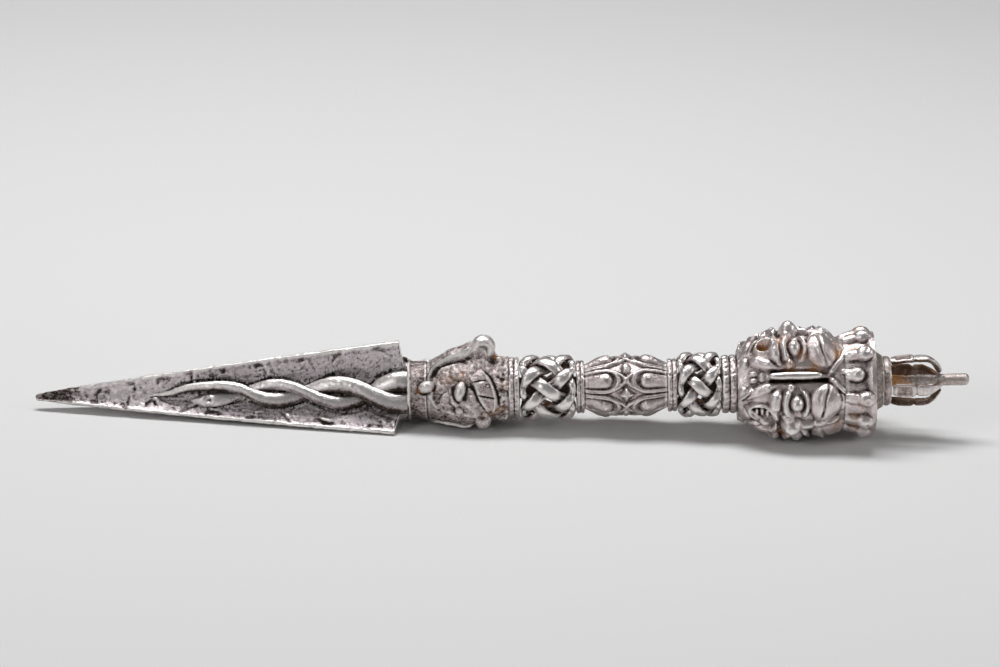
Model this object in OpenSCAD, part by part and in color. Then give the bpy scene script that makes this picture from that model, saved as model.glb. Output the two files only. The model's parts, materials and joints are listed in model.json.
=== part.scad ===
// Small three-edged ritual dagger of cast white metal, lying on a table.
//
// Every piece is modelled upright along its own axis: the blade's point is at
// height 0 and the finial's tip is at the top. A "turn" is an angle round that
// axis. Turn 0 is the edge that faces up when the dagger lies down, and turns
// grow towards the side that is shown. The whole dagger has three equal thirds,
// so what is said of one third is repeated every 120 degrees. Last, lay_down()
// lays it as it rests: on the blade's collar, one shoulder and one crown lobe.

/* [Blade] */
// Length of the blade, from its point to the collar
blade_l = 72; // [50:0.5:110]
// Distance of the three edges from the axis, at the shoulders
blade_r = 10.2; // [8.5:0.1:14]
// Distance of the two lower shoulders from the collar
shoulder_back = 2.6; // [1.8:0.1:6]
// How much closer to the collar the top shoulder is
shoulder_step = 1.1; // [0.2:0.1:1.5]
// Width of the flat along each edge
edge_t = 0.9; // [0.5:0.05:1.6]
// Distance of the edges from the axis at the blunt point
point_r = 0.6; // [0.4:0.05:1.2]
// Bow of the edges, as a share of the distance that they rise
edge_bow = 0.18; // [0:0.01:0.35]
// Distance of the channel floors from the axis, at the shoulders
channel_r = 3; // [2.8:0.1:3.4]
// Width of the channel floors, at the shoulders
channel_w = 5; // [3:0.1:6]
// Radius of the blade's end, where it meets the collar
blade_end_r = 5.6; // [4.8:0.1:6.2]

/* [Serpents] */
// Width of a serpent where it leaves the collar
serpent_w = 3; // [2:0.1:3.4]
// Thickness of a serpent
serpent_t = 1.3; // [0.9:0.1:1.4]
// Distance from the collar to the serpents' first crossing
first_crossing = 7.6; // [6:0.1:12]
// Distance from one crossing to the next
crossing_gap = 12; // [9:0.1:14]
// Length of the last bow, from the third crossing to the long serpent's tail
last_bow = 18.2; // [12:0.1:19]
// Length of the short serpent's head, past the third crossing
serpent_head_l = 10; // [7:0.1:12]

/* [Core rod] */
// Radius of the rod that the cast sections are threaded on
core_r = 2; // [1.5:0.05:2.3]
// How far the rod goes into the blade
core_in_blade = 12; // [6:0.5:20]
// How far the rod goes into the head
core_in_head = 14; // [6:0.5:18]
// Gap between the rod and the bores on it
core_gap = 0.05; // [0.02:0.01:0.1]

/* [Makara section] */
// Length of the blade's collar
collar_l = 3.6; // [2:0.1:6]
// Radius of the blade's collar
collar_r = 6.2; // [5.8:0.1:7]
// Length of the makara heads' section
makara_l = 15.8; // [12:0.1:22]
// Radius of the makara section between the trunks
makara_r = 5.9; // [5.2:0.1:6]
// Height of the axis of the top trunk's curl above the dagger's axis
top_curl_r = 9.3; // [8.6:0.1:11]
// The same for the two lower trunks
low_curl_r = 8.2; // [8:0.1:9]
// Radius of a trunk
trunk_r = 0.75; // [0.5:0.05:0.9]
// Radius of a trunk's curl, to the middle of the trunk
curl_r = 1.5; // [1.2:0.05:1.8]

/* [Rings] */
// Length of the ring above the makara heads
makara_ring_l = 2; // [1.2:0.1:3]
// Radius of the ring above the makara heads
makara_ring_r = 6; // [5.4:0.1:6.5]
// Length of the ring below the grip
lower_ring_l = 1.5; // [1:0.1:3]
// Radius of the ring below the grip
lower_ring_r = 5.1; // [4.8:0.1:6]
// Length of the ring above the grip
upper_ring_l = 1.8; // [1:0.1:3]
// Radius of the ring above the grip
upper_ring_r = 5.1; // [4.8:0.1:6]
// Length of the ring below the head
neck_ring_l = 2.9; // [1.6:0.1:4]
// Radius of the ring below the head
neck_ring_r = 5.7; // [5:0.1:6.2]

/* [Knots] */
// Length of the knot below the grip
lower_knot_l = 11; // [9:0.1:16]
// Length of the knot above the grip
upper_knot_l = 8.6; // [8:0.1:14]
// Radius of both knots at the middle
knot_r = 6.5; // [6.3:0.1:7.5]
// Width of the lower knot's straps
lower_strap_w = 1.8; // [1.2:0.05:1.9]
// Width of the upper knot's straps
upper_strap_w = 1.4; // [1:0.05:1.45]
// Thickness of a knot's strap
strap_t = 1; // [0.7:0.05:1.2]

/* [Grip] */
// Length of the grip
grip_l = 16; // [10:0.1:30]
// Radius of the grip at its ends
grip_end_r = 4.5; // [4:0.1:5]
// Radius of the grip at its middle
grip_mid_r = 5.3; // [5.1:0.1:7]
// Height of the petals on the grip
petal_h = 0.6; // [0.2:0.05:0.8]

/* [Head] */
// Length of the three-faced head, from the neck ring to the crown
head_l = 20.3; // [19:0.1:28]
// Largest radius of the head, at a face
head_r = 10.4; // [9:0.1:12]
// Depth of the hollows between the faces
temple_drop = 2.1; // [1:0.1:2.6]
// Reach of the noses past the head
nose_h = 2.6; // [1.5:0.1:3]
// Height of the brows
brow_h = 0.9; // [0.3:0.05:1.2]
// Height of the eyes
eye_h = 1; // [0.3:0.05:1.2]
// Height of the cheeks, lips and fangs
cheek_h = 0.8; // [0.3:0.05:1]
// Radius of the hair rolls between the faces
hair_r = 0.7; // [0.4:0.05:0.9]

/* [Crown] */
// Length of the crown
crown_l = 6; // [4:0.1:9]
// Radius of the crown between its lobes
crown_r = 8.7; // [8:0.1:9.5]
// Distance of the lobes' tops from the axis
lobe_top_r = 10.8; // [10.4:0.1:12]
// Length of the domed plate that closes the crown
cap_l = 1.7; // [1:0.1:3]

/* [Finial] */
// Length of the finial's collar
finial_collar_l = 1.5; // [1:0.1:3]
// Radius of the finial's collar
finial_collar_r = 4.8; // [4.3:0.1:6]
// Length of the cage of prongs
cage_l = 10.3; // [9:0.1:14]
// Distance of the prongs' outsides from the axis at their widest
cage_r = 5.2; // [4.4:0.1:6]
// Width of a prong at its widest
prong_w = 2.3; // [1.2:0.1:2.4]
// Thickness of a prong
prong_t = 1; // [0.8:0.05:1.3]
// Radius of the spindle inside the cage
spindle_r = 1.3; // [1:0.05:1.5]
// Radius of the spindle's peg, which holds the finial on the crown
peg_r = 0.75; // [0.6:0.05:0.9]
// How far the peg goes into the crown
peg_l = 2; // [1:0.1:3]
// Length of the plain tip past the cage
tip_l = 5; // [3:0.1:8]
// Radius of the plain tip
tip_r = 1.15; // [0.8:0.05:1.3]

/* [Fits] */
// Gap between two pieces that lie side by side
side_gap = 0.1; // [0.05:0.01:0.2]

/* [Hidden] */
$fn = 64;
THIRDS = 3;
THIRD = 360 / THIRDS;
BIGHTS = 6;
PRONGS = 4;
LOBES = 12;
PETALS = 6;

// Stations along the axis: where each section starts
collar_u = blade_l;
makara_u = collar_u + collar_l;
makara_ring_u = makara_u + makara_l;
lower_knot_u = makara_ring_u + makara_ring_l;
lower_ring_u = lower_knot_u + lower_knot_l;
grip_u = lower_ring_u + lower_ring_l;
upper_ring_u = grip_u + grip_l;
upper_knot_u = upper_ring_u + upper_ring_l;
neck_ring_u = upper_knot_u + upper_knot_l;
head_u = neck_ring_u + neck_ring_l;
crown_u = head_u + head_l;
cap_u = crown_u + crown_l;
finial_collar_u = cap_u + cap_l;
cage_u = finial_collar_u + finial_collar_l;
tip_u = cage_u + cage_l;
end_u = tip_u + tip_l;

collar_lip = 0.5;
bore_r = core_r + core_gap;
low_shoulder_u = blade_l - shoulder_back;
top_shoulder_u = low_shoulder_u + shoulder_step;

// Small helpers for angles, blends and vectors

// Angle between two turns in a pattern that repeats every "step" degrees
function apart(a, b, step) = let(d = (a - b) % step) d > step / 2 ? d - step : d < -step / 2 ? d + step : d;
function clamp01(x) = min(1, max(0, x));
function ease(x) = let(c = clamp01(x)) c * c * (3 - 2 * c);
function mixed(a, b, share) = a + (b - a) * share;
function unit(v) = v / norm(v);
// A point at distance r and angle turn from the axis, at height u
function at(r, turn, u) = [r * cos(turn), r * sin(turn), u];
// A low dome: 1 at its middle, 0 at its rim and beyond
function dome(du, dt) = max(0, 1 - du * du - dt * dt);
// Highest of a list of domes, each [place, turn, half length, half turn, height]
function relief(list, place, turn, step) = max([for (d = list)
    d[4] * dome((place - d[0]) / d[2], apart(turn, d[1], step) / d[3])]);

// Faces between the rings of a grid of points: rings from first to last, n points in each
function wall_faces(rings, n, first = 0) = [for (i = [0 : rings - 2], j = [0 : n - 1])
    let(a = first + i * n + j, d = first + i * n + (j + 1) % n)
    for (f = [[a, a + n, d + n], [a, d + n, d]]) f];

// A tube with a sculpted outside and a plain bore: heights us, and radii rs[i][j]
module sculpted_sleeve(us, rs) {
    m = len(us);
    n = len(rs[0]);
    inner_r = bore_r / cos(180 / n);
    outside = [for (i = [0 : m - 1], j = [0 : n - 1]) at(rs[i][j], j * 360 / n, us[i])];
    inside = [for (u = [us[0], us[m - 1]], j = [0 : n - 1]) at(inner_r, j * 360 / n, u)];
    ends = [for (j = [0 : n - 1])
        let(k = (j + 1) % n, low = m * n, high = low + n, top = (m - 1) * n)
        for (f = [[j, k, low + k, low + j],
            [top + j, high + j, high + k, top + k],
            [low + j, low + k, high + k, high + j]]) f];
    polyhedron(concat(outside, inside), concat(wall_faces(m, n), ends), convexity = 8);
}

// A bar swept through the rings of points given; a closed bar joins its last ring to its first
module swept(rings, closed = false) {
    m = len(rings);
    n = len(rings[0]);
    points = [for (ring = rings, p = ring) p];
    sides = wall_faces(m, n);
    joint = [for (j = [0 : n - 1])
        let(a = (m - 1) * n + j, d = (m - 1) * n + (j + 1) % n, b = j, c = (j + 1) % n)
        for (f = [[a, b, c], [a, c, d]]) f];
    caps = [[for (j = [0 : n - 1]) j], [for (j = [n - 1 : -1 : 0]) (m - 1) * n + j]];
    polyhedron(points, concat(sides, closed ? joint : caps), convexity = 8);
}

// An oval ring of points round p, square to the path, its thin side along out
function oval(p, along, out, half_w, half_t, n) =
    let(t = unit(along), o = unit(out - (out * t) * t), w = cross(o, t))
    [for (j = [0 : n - 1]) p + w * half_w * cos(j * 360 / n) + o * half_t * sin(j * 360 / n)];

// Blade

function edge_rise(s) = point_r + (blade_r - point_r) * (s + edge_bow * s * (1 - s));
// Distance of an edge from the axis at height u, for an edge whose shoulder is at height top
function edge_r(u, top) = u <= top ? edge_rise(u / top)
    : mixed(blade_end_r, blade_r, pow(1 - (u - top) / (blade_l - top), 3));
// How far the channels have grown at height u, from the point to the shoulders
function channel_growth(u) = edge_rise(min(1, u / low_shoulder_u)) / blade_r;
function floor_r(u) = channel_r * channel_growth(u);
function floor_w(u) = channel_w * channel_growth(u);
function edge_half(u) = edge_t / 2 * (0.4 + 0.6 * min(1, u / low_shoulder_u));
function blade_ring(u) = [for (k = [0 : THIRDS - 1])
    let(r = edge_r(u, k == 0 ? top_shoulder_u : low_shoulder_u),
        h = edge_half(u), f = floor_r(u), w = floor_w(u) / 2,
        edge = k * THIRD, channel = (k + 0.5) * THIRD)
    for (p = [at(r, edge, u) + at(h, edge - 90, 0), at(r, edge, u) + at(h, edge + 90, 0),
        at(f, channel, u) + at(w, channel - 90, 0), at(f, channel, u) + at(w, channel + 90, 0)]) p];
blade_rows = 12;
blade_us = concat(
    [for (i = [0 : blade_rows]) low_shoulder_u * i / blade_rows],
    [mixed(low_shoulder_u, top_shoulder_u, 0.4), top_shoulder_u],
    [for (s = [0.2, 0.45, 0.7, 1]) mixed(top_shoulder_u, blade_l, s)]);

module blade() {
    color("silver") difference() {
        swept([for (u = blade_us) blade_ring(u)]);
        translate([0, 0, blade_l - core_in_blade]) cylinder(r = bore_r, h = core_in_blade + 1);
    }
}

// Serpents: two bars twisted round each other along each channel

third_crossing_u = blade_l - first_crossing - 2 * crossing_gap;
tail_u = third_crossing_u - last_bow;
snout_u = third_crossing_u - serpent_head_l;
// Number of crossings passed at height u, counted from the collar, with fractions
function crossings(u) = u >= third_crossing_u
    ? (blade_l - first_crossing - u) / crossing_gap
    : 2 + (third_crossing_u - u) / last_bow;
// Width of a serpent at height u: it thins from the collar to the third crossing
function serpent_width(u) = serpent_w * mixed(0.8, 1, clamp01((u - third_crossing_u) / (2 * crossing_gap)));
// Share of its full thickness that a serpent keeps: it is flattened where it dives under
function pressed(under) = 1 - 0.42 * pow(max(0, under), 2);
// Height of a serpent's middle over the channel floor; over is 1 on top and -1 below
function serpent_lift(over) =
    let(low = serpent_t / 2 * pressed(1) + side_gap,
        high = 3 * serpent_t / 2 * pressed(1) + side_gap * 2.2 + serpent_t / 2)
    mixed(low, high, (1 + over) / 2);

// One ring of a serpent in channel k, at height u and so far sideways from the channel's middle
function serpent_ring(k, u, sideways, over, half_w, half_t) =
    let(channel = (k + 0.5) * THIRD)
    oval(at(floor_r(u) + serpent_lift(over), channel, u) + at(sideways, channel - 90, 0),
        [0, 0, 1], at(1, channel, 0), half_w, half_t, 8);

long_rows = 30;
long_us = [for (i = [0 : long_rows]) mixed(tail_u, blade_l - side_gap, i / long_rows)];
short_rows = 26;
root_gap = 0.9;
short_start_u = blade_l - root_gap;
short_us = [for (i = [0 : short_rows]) mixed(snout_u, short_start_u, i / short_rows)];

function long_half_w(u) = u < third_crossing_u
    ? mixed(0.3, serpent_width(u) / 2 - side_gap, pow(clamp01((u - tail_u) / last_bow), 0.6))
    : serpent_width(u) / 2 - side_gap;
module long_serpent(k) {
    color("gainsboro") swept([for (u = long_us)
        let(p = 180 * crossings(u), thin = long_half_w(u) / (serpent_w / 2),
            swing = serpent_width(u) / 2 + side_gap)
        serpent_ring(k, u, swing * sin(p), cos(p), long_half_w(u),
            serpent_t / 2 * pressed(-cos(p)) * mixed(0.35, 1, clamp01(thin)))]);
}

// The short serpent's head is a pointed oval, and its root is a rounded bulb
function head_share(u) = (u - snout_u) / serpent_head_l;
function short_half_w(u) = u < third_crossing_u
    ? mixed(0.15, serpent_width(u) / 2, sin(180 * pow(clamp01(head_share(u)) * 0.86, 0.8)))
    : (serpent_width(u) / 2 - side_gap) * sqrt(clamp01((short_start_u + 0.35 - u) / 1.6));
module short_serpent(k) {
    color("silver") swept([for (u = short_us)
        let(p = 180 * crossings(u), swing = serpent_width(u) / 2 + side_gap,
            rounded = clamp01(short_half_w(u) / (serpent_width(u) / 2)))
        serpent_ring(k, u, -swing * sin(p) * (u < third_crossing_u ? 0.85 : 1), -cos(p),
            short_half_w(u), serpent_t / 2 * pressed(cos(p)) * mixed(0.3, 1, rounded))]);
}

// Core rod

module core_rod() {
    color("dimgray") translate([0, 0, blade_l - core_in_blade + core_gap])
        cylinder(r = core_r, h = head_u + core_in_head - blade_l + core_in_blade - 2 * core_gap);
}

// Collar and rings, each turned with a bore for the core rod

module turned(profile) {
    rotate_extrude() polygon(profile);
}
module beaded_ring(u, l, r) {
    bead_r = l / 4;
    translate([0, 0, u]) difference() {
        union() {
            cylinder(r = r - bead_r, h = l);
            for (s = [0.25, 0.75])
                translate([0, 0, l * s]) rotate_extrude() translate([r - bead_r, 0]) circle(r = bead_r);
        }
        translate([0, 0, -1]) cylinder(r = bore_r, h = l + 2);
    }
}
module blade_collar() {
    color("silver") translate([0, 0, collar_u]) turned([
        [bore_r, 0], [collar_r - collar_lip, 0], [collar_r, collar_lip], [collar_r, collar_l - collar_lip],
        [collar_r - collar_lip, collar_l], [bore_r, collar_l]]);
}
module makara_ring() {
    color("gainsboro") beaded_ring(makara_ring_u, makara_ring_l, makara_ring_r);
}
module grip_lower_ring() {
    color("gainsboro") beaded_ring(lower_ring_u, lower_ring_l, lower_ring_r);
}
module grip_upper_ring() {
    color("gainsboro") beaded_ring(upper_ring_u, upper_ring_l, upper_ring_r);
}
module neck_ring() {
    color("gainsboro") beaded_ring(neck_ring_u, neck_ring_l, neck_ring_r);
}

// Makara heads: three sea monsters' heads that the blade comes out of

makara_sides = 54;
makara_rows = 16;
// Domes on one third: [share of the length, turn, half length, half turn, height in mm]
makara_domes = [
    [0.07, 58, 0.10, 9, 0.5],
    [0.40, 69, 0.10, 17, 0.5],
    [0.40, 98, 0.08, 12, 0.5],
    [0.61, 42, 0.10, 11, 0.5],
    [0.67, 64, 0.10, 11, 0.5],
    [0.71, 88, 0.10, 13, 0.5]];
// Where a trunk starts and where the middle of its curl is, from the section's start
trunk_start = 1.2;
curl_u = 10.6;
trunk_root_h = 0.5;
// Distance of a trunk's middle from the axis, s of the way from its root to its curl
function ramp_r(s, top_r) = mixed(makara_r + trunk_root_h + trunk_r, top_r, s);
// Ridge that a trunk lies on: it rises under the trunk and drops to a foot under the curl
function trunk_bed_r(u, top_r) =
    let(s = clamp01((u - trunk_start) / (curl_u - trunk_start)))
    mixed(ramp_r(s, top_r) - trunk_r, top_r - curl_r, ease((u - curl_u + 2.9) / 1.6)) - side_gap;
function makara_surface(u, turn) =
    let(place = u / makara_l,
        third = round(turn / THIRD) % THIRDS,
        top_r = third == 0 ? top_curl_r : low_curl_r,
        plain = makara_r + 0.2 * sin(180 * place),
        ridge = (trunk_bed_r(u, top_r) - plain) * (1 - ease((u - curl_u) / 2.6))
            * ease(u / trunk_start) * (1 - ease(abs(apart(turn, 0, THIRD)) / 26)),
        swell = 0.9 * sin(180 * place) * (1 - ease(abs(apart(turn, 0, THIRD)) / 40)))
    plain + max(ridge, swell, relief(makara_domes, place, turn, THIRD));
module makara_heads() {
    us = [for (i = [0 : makara_rows]) makara_l * i / makara_rows];
    color("darkgray") translate([0, 0, makara_u])
        sculpted_sleeve(us, [for (u = us) [for (j = [0 : makara_sides - 1])
            makara_surface(u, j * 360 / makara_sides)]]);
}
// A trunk climbs its ridge and ends in a scroll
module makara_trunk(k) {
    top_r = k == 0 ? top_curl_r : low_curl_r;
    climb = [for (s = [0 : 0.2 : 0.81]) [mixed(trunk_start, curl_u - curl_r, s),
        ramp_r(mixed(0, (curl_u - curl_r - trunk_start) / (curl_u - trunk_start), s), top_r)]];
    scroll = [for (i = [0 : 9]) let(a = 165 - i * 26, r = curl_r * (1 - 0.05 * i))
        [curl_u + curl_r * 0.2 + r * cos(a), top_r + r * sin(a)]];
    path = concat(climb, scroll);
    last = len(path) - 1;
    color("lightgray") translate([0, 0, makara_u]) rotate([0, 0, k * THIRD])
        swept([for (i = [0 : last])
            let(p = path[i], d = path[min(i + 1, last)] - path[max(i - 1, 0)],
                size = trunk_r * (i > len(climb) ? mixed(1, 0.75, (i - len(climb)) / 9) : 1))
            oval([p[1], 0, p[0]], [d[1], 0, d[0]], [d[0], 0, -d[1]], size, size, 8)]);
}

// Knots: two straps woven over and under into a band of six lobes on each edge

knot_rings = 66;
knot_turn = 71;
weave_h = strap_t / 2 + side_gap;
// Distance of a strap's middle from the axis, on a barrel that is widest at its middle
function strap_r(s) = knot_r - strap_t / 2 - weave_h - 0.5 * s * s;
// 1 where a strap passes over the other strap or itself, -1 where it passes under
function over_under(swing) =
    let(f = -cos(4 * swing) * sin(swing) * (1 + 0.83 * pow(cos(swing), 2)))
    f * (1.5 - 0.5 * f * f);
// A strap goes twice round while it swings three times from edge to edge
function strap_point(loop, t, l, w) =
    let(half_l = l / 2 - w / 2 - side_gap, swing = BIGHTS / 2 * t)
    at(strap_r(cos(swing)) + weave_h * over_under(swing), knot_turn + 2 * t - loop * 360 / BIGHTS,
        l / 2 + half_l * cos(swing));
module knot_strap(loop, l, w) {
    swept([for (i = [0 : knot_rings - 1])
        let(t = i * 360 / knot_rings, p = strap_point(loop, t, l, w),
            d = strap_point(loop, t + 1, l, w) - strap_point(loop, t - 1, l, w))
        oval(p, d, [p[0], p[1], 0], w / 2, strap_t / 2, 8)], closed = true);
}
module lower_knot_strap(loop) {
    color("silver") translate([0, 0, lower_knot_u]) knot_strap(loop, lower_knot_l, lower_strap_w);
}
module upper_knot_strap(loop) {
    color("silver") translate([0, 0, upper_knot_u]) knot_strap(loop, upper_knot_l, upper_strap_w);
}

// Grip: a barrel with six petals from each end and a boss between each pair

grip_sides = 60;
grip_rows = 20;
grip_domes = [
    [0.16, 52, 0.23, 13, 1], [0.84, 52, 0.23, 13, 1], [0.5, 22, 0.08, 9, 0.7]];
function grip_surface(place, turn) =
    mixed(grip_end_r, grip_mid_r, sin(180 * place))
    + petal_h * relief(grip_domes, place, turn, 360 / PETALS);
module grip() {
    us = [for (i = [0 : grip_rows]) grip_l * i / grip_rows];
    color("silver") translate([0, 0, grip_u])
        sculpted_sleeve(us, [for (u = us) [for (j = [0 : grip_sides - 1])
            grip_surface(u / grip_l, j * 360 / grip_sides)]]);
}

// Head: three wrathful faces, each with its chin at the neck ring and its brow at the crown

head_sides = 60;
head_rows = 28;
// Outline of the head along its length, as shares of its length and of its radius
head_outline = [
    [0, 0.6], [0.1, 0.75], [0.19, 0.88], [0.29, 0.97], [0.45, 1], [0.72, 1], [0.87, 0.88], [1, 0.8]];
// Domes on one third: [share of the length, turn, half length, half turn, height in mm]
head_domes = [
    [0.48, 0, 0.12, 14, nose_h], [0.44, 11, 0.08, 10, nose_h * 0.55], [0.44, -11, 0.08, 10, nose_h * 0.55],
    [0.60, 0, 0.14, 8, nose_h * 0.4],
    [0.51, 22, 0.09, 10, eye_h], [0.52, 92, 0.09, 12, eye_h],
    [0.67, 22, 0.07, 20, brow_h], [0.81, 22, 0.10, 21, brow_h],
    [0.74, 89, 0.07, 19, brow_h], [0.88, 89, 0.09, 18, brow_h],
    [0.82, 0, 0.08, 9, brow_h],
    [0.38, 27, 0.10, 10, cheek_h], [0.37, 76, 0.09, 12, cheek_h],
    [0.17, 12, 0.07, 24, cheek_h], [0.20, 100, 0.10, 13, cheek_h], [0.08, 35, 0.08, 14, cheek_h * 0.8]];
function head_plain(place, turn) = head_r * lookup(place, head_outline)
    - temple_drop * ease(place * 4) * (1 - cos(3 * turn)) / 2;
function head_surface(place, turn) = head_plain(place, turn) + relief(head_domes, place, turn, THIRD);
module head() {
    us = [for (i = [0 : head_rows]) head_l * i / head_rows];
    rs = [for (u = us) [for (j = [0 : head_sides - 1]) head_surface(u / head_l, j * 360 / head_sides)]];
    color("lightgray") translate([0, 0, head_u]) sculpted_sleeve(us, rs);
}
// A hair roll lies in the hollow between two faces
module hair_roll(k) {
    first = 8;
    last = 22;
    turn = (k + 0.5) * THIRD;
    color("gainsboro") translate([0, 0, head_u])
        swept([for (i = [first : last])
            let(place = i / head_rows, size = hair_r * (i == first || i == last ? 0.5 : 1))
            oval(at(head_plain(place, THIRD / 2) + hair_r + side_gap, turn, place * head_l),
                [0, 0, 1], at(1, turn, 0), size, size, 8)]);
}

// Crown: a band of small skulls, then a domed plate

crown_sides = 90;
// Shares of the crown's length, and of the lobes' height there
lobe_top_place = 0.68;
lobe_outline = [[0, 0], [0.15, 0.25], [0.35, 0.65], [0.52, 0.9], [lobe_top_place, 1], [0.88, 0.97], [1, 0.65]];
function crown_surface(share, turn) =
    crown_r - 0.4 * (1 - share)
    + (lobe_top_r - crown_r) * share * sqrt(max(0, 1 - pow(apart(turn, THIRD / 2, 360 / LOBES) / 13, 2)));
module crown() {
    color("silver") translate([0, 0, crown_u]) difference() {
        swept([for (row = lobe_outline) [for (j = [0 : crown_sides - 1])
            at(crown_surface(row[1], j * 360 / crown_sides), j * 360 / crown_sides, row[0] * crown_l)]]);
        translate([0, 0, crown_l - peg_l]) cylinder(r = peg_r + core_gap, h = peg_l + 1);
    }
}
module crown_cap() {
    rim = 0.2;
    neck_r = finial_collar_r + 0.3;
    color("silver") translate([0, 0, cap_u]) turned([
        [peg_r + core_gap, 0], [crown_r, 0], [crown_r, rim],
        [mixed(crown_r, neck_r, 0.6), cap_l * 0.4], [neck_r + 0.2, cap_l * 0.65],
        [neck_r, cap_l], [peg_r + core_gap, cap_l]]);
}

// Finial: half of a thunderbolt sceptre, four prongs round a spindle

module finial_collar() {
    color("silver") translate([0, 0, finial_collar_u]) difference() {
        union() {
            cylinder(r = finial_collar_r - finial_collar_l / 2, h = finial_collar_l);
            translate([0, 0, finial_collar_l / 2]) rotate_extrude()
                translate([finial_collar_r - finial_collar_l / 2, 0]) circle(r = finial_collar_l / 2);
        }
        translate([0, 0, -1]) cylinder(r = peg_r + core_gap, h = finial_collar_l + 2);
    }
}
// A prong's middle bows from the collar out to the cage's widest and in to the spindle's neck
prong_end_gap = 0.4;
function prong_point(s) =
    [mixed(tip_r + side_gap + prong_t / 2,
        cage_r - prong_t / 2, pow(sin(180 * pow(mixed(0.1, 1, s), 0.8)), 0.75)),
    mixed(side_gap, cage_l - prong_end_gap, s)];
// A prong is two leaves with a waist between them, and both leaves end narrow
prong_end_w = 1.3;
prong_waist = 0.55;
function prong_half_w(s) =
    let(part = s < prong_waist ? s / prong_waist : (s - prong_waist) / (1 - prong_waist))
    mixed(prong_end_w, prong_w, pow(sin(180 * part), 0.6)) / 2;
module vajra_prong(k) {
    rows = 14;
    turn = k * 360 / PRONGS;
    color("gainsboro") translate([0, 0, cage_u]) rotate([0, 0, turn])
        swept([for (i = [0 : rows])
            let(p = prong_point(i / rows))
            oval([p[0], 0, p[1]], [0, 0, 1], [1, 0, 0],
                prong_half_w(i / rows), prong_t / 2 * (i == rows ? 0.7 : 1), 8)]);
}
module finial_spindle() {
    waist = spindle_r * 0.7;
    foot_r = spindle_r * 0.9;
    neck_r = tip_r - 0.15;
    foot = -finial_collar_l - cap_l - peg_l + side_gap;
    round_start = cage_l + tip_l - tip_r;
    color("goldenrod") translate([0, 0, cage_u]) turned(concat(
        [[0, foot], [peg_r, foot], [peg_r, 0], [foot_r, 0], [spindle_r, cage_l * 0.15],
            [waist, cage_l * 0.35], [spindle_r, cage_l * 0.5], [waist, cage_l * 0.65],
            [neck_r, cage_l - 0.3], [tip_r, cage_l]],
        [for (a = [0 : 15 : 90]) [tip_r * cos(a), round_start + tip_r * sin(a)]]));
}

// Laying it down. The crown's lowest lobe and the collar carry it, and it rolls from there until a
// lower shoulder touches too. Where the shoulders reach lower than the collar, both of them touch.

lobe_top_u = crown_u + crown_l * lobe_top_place;
shoulder_depth = blade_r * sin(30) + edge_t / 2 * cos(30);
collar_slope = (lobe_top_r - collar_r) / (lobe_top_u - collar_u - collar_lip);
shoulder_slope = (lobe_top_r - shoulder_depth) / (lobe_top_u - low_shoulder_u);
lie_tilt = atan(min(collar_slope, shoulder_slope));
rest_h = lobe_top_r * cos(lie_tilt) - lobe_top_u * sin(lie_tilt);
// Depth below the axis at which the lower shoulder touches, and the roll that brings it there
touch_depth = (rest_h + low_shoulder_u * sin(lie_tilt)) / cos(lie_tilt);
lie_roll = asin(min(1, touch_depth / norm([blade_r, edge_t / 2]))) - 30 - atan(edge_t / 2 / blade_r);
// The dagger's middle: the noses reach out furthest to the sides
half_length = ((end_u - tip_r) * cos(lie_tilt) + tip_r) / 2;
side_shift = (head_r + nose_h) * (cos(30 - lie_roll) - cos(30 + lie_roll)) / 2;
module lay_down() {
    translate([-half_length, -side_shift, rest_h]) rotate([0, -lie_tilt, 0])
        rotate([0, -90, 180]) rotate([0, 0, lie_roll]) children();
}

lay_down() blade();
lay_down() long_serpent(0);  // long_serpent_1
lay_down() long_serpent(1);  // long_serpent_2
lay_down() long_serpent(2);  // long_serpent_3
lay_down() short_serpent(0);  // short_serpent_1
lay_down() short_serpent(1);  // short_serpent_2
lay_down() short_serpent(2);  // short_serpent_3
lay_down() core_rod();
lay_down() blade_collar();
lay_down() makara_heads();
lay_down() makara_trunk(0);  // makara_trunk_1
lay_down() makara_trunk(1);  // makara_trunk_2
lay_down() makara_trunk(2);  // makara_trunk_3
lay_down() makara_ring();
lay_down() lower_knot_strap(0);  // lower_knot_strap_1
lay_down() lower_knot_strap(1);  // lower_knot_strap_2
lay_down() grip_lower_ring();
lay_down() grip();
lay_down() grip_upper_ring();
lay_down() upper_knot_strap(0);  // upper_knot_strap_1
lay_down() upper_knot_strap(1);  // upper_knot_strap_2
lay_down() neck_ring();
lay_down() head();
lay_down() hair_roll(0);  // hair_roll_1
lay_down() hair_roll(1);  // hair_roll_2
lay_down() hair_roll(2);  // hair_roll_3
lay_down() crown();
lay_down() crown_cap();
lay_down() finial_collar();
lay_down() vajra_prong(0);  // vajra_prong_1
lay_down() vajra_prong(1);  // vajra_prong_2
lay_down() vajra_prong(2);  // vajra_prong_3
lay_down() vajra_prong(3);  // vajra_prong_4
lay_down() finial_spindle();
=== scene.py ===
# %% [markdown]
# # A small ritual dagger of cast white metal
#
# The dagger is cast in sections: a three-edged blade with serpents in its channels, a section of sea
# monsters' heads, two open knots with a grip between them, a head with three faces, a crown and half a
# thunderbolt sceptre. Its looks come from two things. One is relief: the metal stands up in mounds and
# ridges that are hardly a millimetre high. The other is age: grey and brown patina stays in the hollows,
# and hands have polished the tops. So each section is a surface worked out with numpy, and the same
# arrays say how far each point stands out, which tells the material where the patina lies.
# Part of that colour is painted light: shade painted into gaps and on the flanks of bars, and highlights on
# their tops.

# %% The frame
import json

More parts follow.
